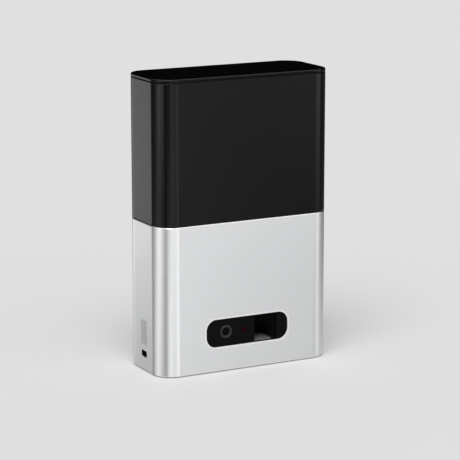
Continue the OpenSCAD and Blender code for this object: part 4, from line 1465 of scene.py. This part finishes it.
@dataclass
class CameraWindow(Assembly):
    """The front window with its lens, infrared lamp and treat opening.

    Attributes:
        lens: The middle of the lens across and up.
        face: The front of the lens barrel.
        barrel: The radius and length of the barrel.
        ring: The half width and half height of the bright ring, and its outer corner radius.
        ring_steps: The number of flats in such a corner.
        ring_height: The height of its middle.
        ring_wide: Its width as seen from the front.
        ring_run: The y of its front and of its back.
        ring_edge: The rounding of its front edges.
        lip: The rings of the barrel's face.
        baffle: The rings of one baffle.
        baffles: How many baffles there are.
        well: The rings of the well behind the glass, which holds painted shade.
        front_dome: How far the front glass is behind the barrel's face, its radius, the rise of
            its dome and its thickness.
        inner_dome: The same for the inner glass.
        dome_rings: The number of flat rings in a dome.
    """

    lens: tuple[float, float] = (-21.5, 36.8)
    face: float = -35.9
    barrel: tuple[float, float] = (6.0, 8.0)
    ring: Point = (43.4, 14.4, 11.4)
    ring_steps: int = 16
    ring_height: float = 36.3
    ring_wide: float = 1.4
    ring_run: tuple[float, float] = (-36.5, -34.5)
    ring_edge: Rounding = (0.12, 2)
    lip: Rings = ((0.4, 0.4), (0.52, 0.0))
    baffle: Rings = ((0.06, -0.53), (0.375, 0.0))
    baffles: int = 3
    well: Rings = ((0.02, -2.0), (0.7, 0.0), (0.02, -0.8), (0.5, 0.0), (0.3, -0.5), (0.9, -0.1))
    front_dome: tuple[float, float, float, float] = (0.6, 3.72, 1.0, 1.7)
    inner_dome: tuple[float, float, float, float] = (3.1, 3.0, 0.7, 1.2)
    dome_rings: int = 9
    nodes: ClassVar[tuple[str, ...]] = (
        "window_trim", "camera_bezel", "lens_barrel", "lens_glass", "lens_holder", "camera_board",
        "camera_screws", "infrared_window", "infrared_led", "microphone", "chute_lip",
    )

    def build(self) -> list[Piece]:
        """Models the bright ring, the stepped barrel and its two glasses."""
        return [self.trim(), self.tube(), *self.glasses()]

    def trim(self) -> Piece:
        """Models the ring round the window, flat in front with softly broken edges.

        Returns:
            The ring.
        """
        x, z, corner = self.ring
        front, back = self.ring_run
        piece = self.bench.slab(
            "window_ring", (-x, front, self.ring_height - z), (x, back, self.ring_height + z)
        )
        self.bench.round_edges(
            piece, lambda a, b: abs(a.y - b.y) > CLOSE, (corner, self.ring_steps)
        )
        with self.bench.editing(piece):
            self.bench.pick_faces(piece, facing(Axis.Y))
            bpy.ops.mesh.delete(type="ONLY_FACE")
        self.bench.modify(
            piece, "SOLIDIFY", thickness=self.ring_wide * MM, offset=-1.0, use_even_offset=True
        )
        width, steps = self.ring_edge
        with self.bench.editing(piece):
            self.bench.pick_faces(piece, facing(Axis.Y, -1))
            bpy.ops.mesh.region_to_loop()
            bpy.ops.mesh.bevel(offset=width * MM, segments=steps, profile=0.5, affect="EDGES")
        return self.finish(piece, "polished_trim", stands_for=["window_trim"])

    def special(self) -> dict[str, Finish]:
        """Gives the panel a smoked finish that hardly reflects, and the ramp its painted pool of light.

        Returns:
            The two finishes by the name of their solid.
        """
        smoked = replace(
            self.shelf.finishes["black_gloss"], name="smoked_panel", colour=grey(0.0018, -0.20),
            roughness=0.34, specular=0.08, grain=0.3, grain_depth=0.001,
        )
        # The ramp's patch is a painted pool of light with painted shade round it.
        ramp = PaintedLightRamp("ramp_grey", grey(0.13, -0.03), 0.5, grain=0.45, grain_depth=0.006)
        return {"camera_bezel": smoked, "chute_lip": ramp}

    def tube(self) -> Piece:
        """Models the barrel with its baffle steps and the well behind the glass, with painted shade
        inside it.

        Returns:
            The barrel.
        """
        radius, length = self.barrel
        x, z = self.lens
        rise = self.lip[0][1]
        piece = self.bench.rod("lens_tube", (x, self.face + rise, z), Axis.Y, radius, length - rise)
        rings = (*self.lip, *(self.baffle * self.baffles), *self.well)
        self.bench.step_face(piece, facing(Axis.Y, -1), rings)
        # Painted shade deepens inside the barrel.
        finish = PaintedShadeWell(
            "barrel_black", grey(0.030, -0.05), 0.42, drift=0.06, rough_drift=0.06, grain=0.4,
            grain_depth=0.001, edge_wear_highlight=0.9, specular=0.3,
        )
        return self.finish(piece, "black_plastic", stands_for=["lens_barrel"], finish=finish)

    def glasses(self) -> list[Piece]:
        """Models the front glass, thin enough to look into the barrel, and the inner one.

        Returns:
            The two glasses.
        """
        front = self.dome("lens_front", *self.front_dome)
        self.finish(front, "lens_glass", stands_for=["lens_glass"])
        inner = self.dome("lens_inner", *self.inner_dome)
        return [front, self.finish(inner, "lens_glass")]

    def dome(self, name: str, back: float, radius: float, rise: float, thick: float) -> Piece:
        """Models a glass with a domed front.

        Args:
            name: The name of the piece.
            back: How far the middle of the dome is behind the barrel's face.
            radius: The radius of the glass.
            rise: The height of the dome over its rim.
            thick: The thickness of the glass in its middle.

        Returns:
            The glass.
        """
        x, z = self.lens
        start = (x, self.face + back + rise, z)
        piece = self.bench.rod(name, start, Axis.Y, radius, thick - rise)
        ball = (radius * radius + rise * rise) / (2 * rise)
        rings = []
        for ring in range(1, self.dome_rings):
            before, after = (radius * (1 - r / self.dome_rings) for r in (ring - 1, ring))
            climb = math.sqrt(ball**2 - after**2) - math.sqrt(ball**2 - before**2)
            rings.append((before - after, climb))
        self.bench.step_face(piece, facing(Axis.Y, -1), rings)
        return piece


@dataclass
class SideWall(Assembly):
    """The speaker behind the grille and the power inlet under it.

    Attributes:
        mouth: The x of the socket's mouth.
        socket: The y and z of the socket's middle.
        tongue: The length, width and height of the tongue in it.
        sunk: How far the tongue's tip is behind the mouth.
        tip: The rounding of that tip.
        contacts: The rings of its flat sides.
    """

    mouth: float = -82.6
    socket: tuple[float, float] = (-1.0, 16.3)
    tongue: Point = (5.0, 6.9, 1.0)
    sunk: float = 0.35
    tip: Rounding = (0.22, 3)
    contacts: Rings = ((0.6, 0.0), (0.12, -0.12), (0.5, 0.0))
    nodes: ClassVar[tuple[str, ...]] = (
        "speaker_mesh", "speaker_frame", "speaker_cone", "speaker_box", "power_bezel",
        "power_socket", "power_board",
    )

    def build(self) -> list[Piece]:
        """Models the pale tongue of the inlet with a sunk field for the contacts on each side.

        Returns:
            The tongue.
        """
        (y, z), (long, wide, high) = self.socket, self.tongue
        x = self.mouth + self.sunk
        piece = self.bench.slab(
            "inlet_tongue", (x, y - wide / 2, z - high / 2), (x + long, y + wide / 2, z + high / 2)
        )
        self.bench.round_edges(piece, lambda a, b: max(a.x, b.x) < x + CLOSE, self.tip)
        self.bench.step_face(piece, facing(Axis.Z), self.contacts)
        return [self.finish(piece, "white_plastic")]


@dataclass
class Dispenser(Assembly):
    """The housings, the metering drum, the kicker and their drives.

    Attributes:
        motor_end: The x of the motors' closed ends.
        motors: The y and z of the two motor axes.
        cap: The radius, thickness and number of sides of an end cap.
        cap_rings: The rings of its face.
        tab: The length, half width and half thickness of a terminal.
        tab_out: How far a terminal is from the motor's axis.
        tab_foot: Where it starts, from the motor's closed end.
        tab_end: The rounding of its free end.
        tab_rings: The rings of its flat sides.
    """

    motor_end: float = 66.0
    motors: tuple[tuple[float, float], ...] = ((-16.28, 112.0), (-10.28, 56.0))
    cap: tuple[float, float, int] = (8.6, 0.9, 48)
    cap_rings: Rings = ((0.4, 0.4), (4.2, 0.0), (0.3, 0.9), (1.2, -0.4))
    tab: Point = (4.2, 1.0, 0.25)
    tab_out: float = 6.2
    tab_foot: float = 0.6
    tab_end: Rounding = (0.7, 3)
    tab_rings: Rings = ((0.45, 0.0), (0.1, -0.1))
    nodes: ClassVar[tuple[str, ...]] = (
        "housing_left", "housing_right", "housing_screws", "treat_sensor", "metering_drum",
        "drum_shaft", "drum_gear", "drum_bushes", "feed_motor", "feed_motor_shaft", "feed_pinion",
        "kicker_paddle", "kicker_shaft", "kicker_gear", "kicker_bushes", "kicker_motor",
        "kicker_motor_shaft", "kicker_pinion", "motor_plate", "motor_plate_screws",
    )

    def build(self) -> list[Piece]:
        """Models an end cap and copies it to the other motor, then adds the terminals.

        Returns:
            The caps and the terminals.
        """
        (y, z), (other_y, other_z) = self.motors
        cap = self.bench.rod("motor_cap_1", (self.motor_end, y, z), Axis.X, *self.cap)
        self.bench.step_face(cap, facing(Axis.X, 1), self.cap_rings)
        self.finish(cap, "black_plastic")
        offset = (0.0, other_y - y, other_z - z)
        pieces = [cap, self.repeat(cap, "motor_cap_2", offset, "black_plastic")]
        for index, (motor_y, motor_z) in enumerate(self.motors, start=1):
            for letter, out in (("a", -self.tab_out), ("b", self.tab_out)):
                pieces.append(self.terminal(f"terminal_{index}_{letter}", motor_y, motor_z + out))
        return pieces

    def terminal(self, name: str, y: float, z: float) -> Piece:
        """Models a flat solder terminal with a rounded end and sunk sides.

        Args:
            name: The name of the piece.
            y: The y of its middle.
            z: The z of its middle.

        Returns:
            The terminal.
        """
        x = self.motor_end + self.tab_foot
        long, wide, thick = self.tab
        piece = self.bench.slab(name, (x, y - wide, z - thick), (x + long, y + wide, z + thick))
        end = x + long - CLOSE
        self.bench.round_edges(
            piece, lambda a, b: min(a.x, b.x) > end and abs(a.y - b.y) < CLOSE, self.tab_end
        )
        self.bench.step_face(piece, facing(Axis.Z), self.tab_rings)
        return self.finish(piece, "brass")


@dataclass
class Electronics(Assembly):
    """The main board with its shield, chips and antenna.

    Attributes:
        front: The y of the board's bare face.
        chips: The x, z, half width, half height and thickness of each chip.
        sunk: How far a chip's underside is let into the board.
        slant: How far its slanted rim leans inwards.
        margin: The width of the flat margin of its top.
        dip: How far the middle of its top is sunk.
    """

    front: float = 18.9
    chips: tuple[tuple[float, float, float, float, float], ...] = (
        (-66.8, 100.0, 3.5, 4.5, 1.0),
        (-66.8, 84.0, 3.0, 3.0, 1.2),
        (-13.2, 100.0, 3.5, 3.5, 1.0),
        (-13.2, 85.0, 3.5, 2.6, 1.1),
        (-66.8, 70.0, 2.4, 3.4, 1.4),
        (-13.2, 70.0, 3.0, 3.0, 1.0),
    )
    sunk: float = 0.05
    slant: float = 0.15
    margin: float = 0.35
    dip: float = 0.08
    nodes: ClassVar[tuple[str, ...]] = ("main_board", "board_shield", "board_screws", "antenna")

    def build(self) -> list[Piece]:
        """Models the chips on the main board."""
        return [self.chip(f"board_chip_{i}", *chip) for i, chip in enumerate(self.chips, start=1)]

    def chip(self, name: str, x: float, z: float, wide: float, high: float, thick: float) -> Piece:
        """Models a chip with a slanted rim and a sunk top.

        Args:
            name: The name of the piece.
            x: The x of its middle.
            z: The z of its middle.
            wide: Half its width.
            high: Half its height.
            thick: Its thickness.

        Returns:
            The chip.
        """
        low = (x - wide, self.front - thick / 2, z - high)
        piece = self.bench.slab(name, low, (x + wide, self.front + self.sunk, z + high))
        rings = ((self.slant, thick / 2), (self.margin, 0.0), (self.dip, -self.dip))
        self.bench.step_face(piece, facing(Axis.Y, -1), rings)
        finish = replace(
            self.shelf.finishes["black_plastic"], name="chip_epoxy", colour=grey(0.02), roughness=0.55
        )
        return self.finish(piece, "black_plastic", finish=finish)


@dataclass(frozen=True)
class Card:
    """A broad pale card that stands round the object and shows in its gloss.

    Attributes:
        name: Where the card stands, with left for the side of the grille.
        heading: The heading of its middle, 0 in front and 90 at the left.
        half: Half its width as an angle.
        low: The height of its lower edge as an angle.
        high: The height of its upper edge as an angle.
        level: The brightness that it adds.
    """

    name: str
    heading: float
    half: float
    low: float
    high: float
    level: float


@dataclass
class Studio:
    """The floor, the light and the camera.

    Attributes:
        floor_half: Half the side of the floor in metres.
        cloud: The size of the soft clouds in the floor's tone, in millimetres.
        cloud_gain: How much paler the floor is inside such a cloud.
        pale: The linear level of the floor and of the background.
        surround: The level of the even light on the surfaces.
        between: The level that shows in the gloss between the cards, under the horizon.
        horizon: The heights between which that level fades in downwards.
        soft: How wide the soft edges of a card are, across and up.
        cards: The cards round the object, in degrees.
        bands: The level under and over the cards, and the heights between which it takes over.
        lamp: The strength of the large soft lamp.
        lamp_spread: The angle under which the lamp is seen, in degrees.
        lamp_turn: The lamp's tilt and heading in degrees.
        azimuth: The camera's heading in degrees.
        elevation: The height of the camera over the target, in degrees.
        pitch: The camera's downward tilt in degrees.
        distance: The distance from the target in millimetres.
        shift_right: How far the camera sits to its right, in millimetres.
        target_height: The height of the target in millimetres.
        focal: The focal length in image widths.
        sensor: The width of the camera's sensor in millimetres.
        clip: The nearest and farthest distance that the camera sees, in metres.
    """

    floor_half: float = 9.0
    cloud: float = 900.0
    cloud_gain: float = 1.01
    pale: float = 0.76
    surround: float = 0.56
    between: float = 0.1
    horizon: tuple[float, float] = (5.0, -2.0)
    soft: tuple[float, float] = (14.0, 7.0)
    cards: tuple[Card, ...] = (
        Card("front right", heading=-50, half=18, low=-10, high=-1, level=1.65),
        Card("front", heading=-18, half=7, low=-28, high=5, level=1.4),
        Card("front left", heading=8, half=15, low=-20, high=6, level=0.95),
        Card("left, low", heading=32, half=11, low=-32, high=-12, level=1.2),
        Card("left, bright", heading=76, half=18, low=-10, high=-2, level=2.2),
        Card("left, wide", heading=95, half=16, low=-17, high=-4, level=0.65),
        Card("back left, low", heading=115, half=19, low=-33, high=-13, level=0.75),
        Card("back left", heading=160, half=9, low=-14, high=-2, level=1.4),
        Card("back, low", heading=177, half=25, low=-33, high=-10, level=0.3),
        Card("right, low", heading=-92, half=45, low=-36, high=-15, level=0.8),
        Card("front, high", heading=0, half=61, low=3, high=30, level=0.55),
    )
    bands: tuple[Point, ...] = ((1.0, -30.0, -50.0), (1.0, 26.0, 44.0), (1.9, 44.0, 58.0))
    lamp: float = 1.55
    lamp_spread: float = 42.0
    lamp_turn: tuple[float, float] = (32.0, -38.0)
    azimuth: float = -27.88
    elevation: float = 11.81
    pitch: float = 12.19
    distance: float = 1898.5
    shift_right: float = 1.01
    target_height: float = 135.0
    focal: float = 2071.8 / 460.0
    sensor: float = 36.0
    clip: tuple[float, float] = (0.05, 60.0)

    def build(self) -> None:
        """Sets up the whole studio."""
        self.floor()
        self.world()
        self.lamp_light()
        self.camera()

    def floor(self) -> None:
        """Lays a plain pale floor that keeps the object's shadow."""
        bpy.ops.object.select_all(action="DESELECT")
        bpy.ops.mesh.primitive_plane_add(size=self.floor_half * 2, location=(0, 0, 0))
        floor = bpy.context.active_object
        floor.name = "studio_floor"
        material = bpy.data.materials.new("studio_floor")
        material.use_nodes = True
        graph = Graph(material.node_tree)
        shader = graph.tree.nodes["Principled BSDF"]
        shader.inputs["Roughness"].default_value = 1.0
        shader.inputs["Specular IOR Level"].default_value = 0.0
        tone = graph.spread(graph.noise(graph.place(), self.cloud), low=0.3, high=0.7)
        colour = graph.blend(tone, grey(self.pale), grey(self.pale * self.cloud_gain))
        graph.feed(shader.inputs["Base Color"], colour)
        floor.data.materials.append(material)
        floor.visible_glossy = False
        LOG.info("Studio: floor %.0f m wide", self.floor_half * 2)

    def world(self) -> None:
        """Surrounds the object with even light and a studio of broad cards for the gloss."""
        world = bpy.data.worlds.new("studio_world")
        bpy.context.scene.world = world
        world.use_nodes = True
        world.cycles.sampling_method = "NONE"
        graph = Graph(world.node_tree)
        graph.tree.nodes.clear()
        look = graph.split(graph.add("ShaderNodeTexCoord").outputs["Generated"])
        left, front = (graph.maths("MULTIPLY", look[axis], -1.0) for axis in "XY")
        heading = graph.maths("DEGREES", graph.maths("ARCTAN2", left, front))
        climb = graph.maths("DEGREES", graph.maths("ARCSINE", look["Z"]))
        shown = graph.spread(climb, *self.horizon, to_high=self.between)
        for card in self.cards:
            LOG.info("Studio: card %s at %.0f degrees", card.name, card.heading)
            mask = graph.maths("MULTIPLY", *self.card_sides(graph, card, heading, climb))
            shown = graph.maths("MULTIPLY_ADD", mask, card.level, shown)
        for tone, start, end in self.bands:
            shown = graph.blend(graph.spread(climb, start, end), shown, grey(tone))
        path = graph.add("ShaderNodeLightPath")
        direct = graph.maths("SUBTRACT", 1.0, path.outputs["Diffuse Depth"], clamp=True)
        gloss = graph.maths("MULTIPLY", path.outputs["Is Glossy Ray"], direct)
        level = graph.blend(gloss, grey(self.surround), shown)
        level = graph.blend(path.outputs["Is Camera Ray"], level, grey(self.pale))
        level = graph.blend(path.outputs["Is Transmission Ray"], level, grey(self.pale))
        sky = graph.add("ShaderNodeBackground")
        graph.feed(sky.inputs["Color"], level)
        surface = graph.add("ShaderNodeOutputWorld").inputs["Surface"]
        graph.feed(surface, sky.outputs[0])
        LOG.info("Studio: surrounding light at level %.2f", self.surround)

    def card_sides(self, graph: Graph, card: Card, heading: Socket, climb: Socket) -> list[Socket]:
        """Masks a card across and up, with soft edges.

        Args:
            graph: The world's graph.
            card: The card.
            heading: The heading that is looked along.
            climb: The height that is looked at.

        Returns:
            The mask across and the mask up.
        """
        across = graph.maths("PINGPONG", graph.maths("SUBTRACT", heading, card.heading), 180.0)
        up = graph.maths("ABSOLUTE", graph.maths("SUBTRACT", climb, (card.low + card.high) / 2))
        halves = (card.half, (card.high - card.low) / 2)
        return [
            graph.spread(away, half + soft / 2, half - soft / 2)
            for away, half, soft in zip((across, up), halves, self.soft)
        ]

    def lamp_light(self) -> None:
        """Hangs a large soft lamp over the front left."""
        bpy.ops.object.select_all(action="DESELECT")
        tilt, heading = (math.radians(a) for a in self.lamp_turn)
        bpy.ops.object.light_add(type="SUN", rotation=(tilt, 0.0, heading))
        lamp = bpy.context.active_object
        lamp.name = "soft_lamp"
        lamp.data.energy = self.lamp
        lamp.data.angle = math.radians(self.lamp_spread)
        LOG.info("Studio: soft lamp %.2f", self.lamp)

    def camera(self) -> None:
        """Places the camera at the angle of the portrait."""
        turn, rise = math.radians(self.azimuth), math.radians(self.elevation)
        back = Vector((math.sin(turn) * math.cos(rise), -math.cos(turn) * math.cos(rise), math.sin(rise)))
        right = Vector((math.cos(turn), math.sin(turn), 0.0))
        place = back * self.distance + right * self.shift_right + Vector((0, 0, self.target_height))
        bpy.ops.object.select_all(action="DESELECT")
        bpy.ops.object.camera_add(
            location=place * MM, rotation=(math.pi / 2 - math.radians(self.pitch), 0.0, turn)
        )
        camera = bpy.context.active_object
        camera.name = "portrait_camera"
        camera.data.sensor_width = self.sensor
        camera.data.lens = self.focal * self.sensor
        camera.data.clip_start, camera.data.clip_end = self.clip
        bpy.context.scene.camera = camera
        LOG.info("Studio: camera at %s", tuple(round(c, 4) for c in camera.location))


def main() -> None:
    """Builds and dresses every sub-assembly, then the studio."""
    logging.basicConfig(level=logging.INFO, format="%(name)s %(message)s", force=True)
    bpy.context.scene.view_settings.view_transform = "Standard"
    bench, shelf = Bench(), FinishShelf(FINISHES)
    for kind in (Casing, Lid, CameraWindow, SideWall, Dispenser, Electronics):
        kind(bench, shelf).run()
    missing = sorted(set(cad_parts) - shelf.dressed)
    if missing:
        raise RuntimeError(f"these solids have no finish yet: {missing}")
    Studio().build()


if __name__ == "__main__":
    main()
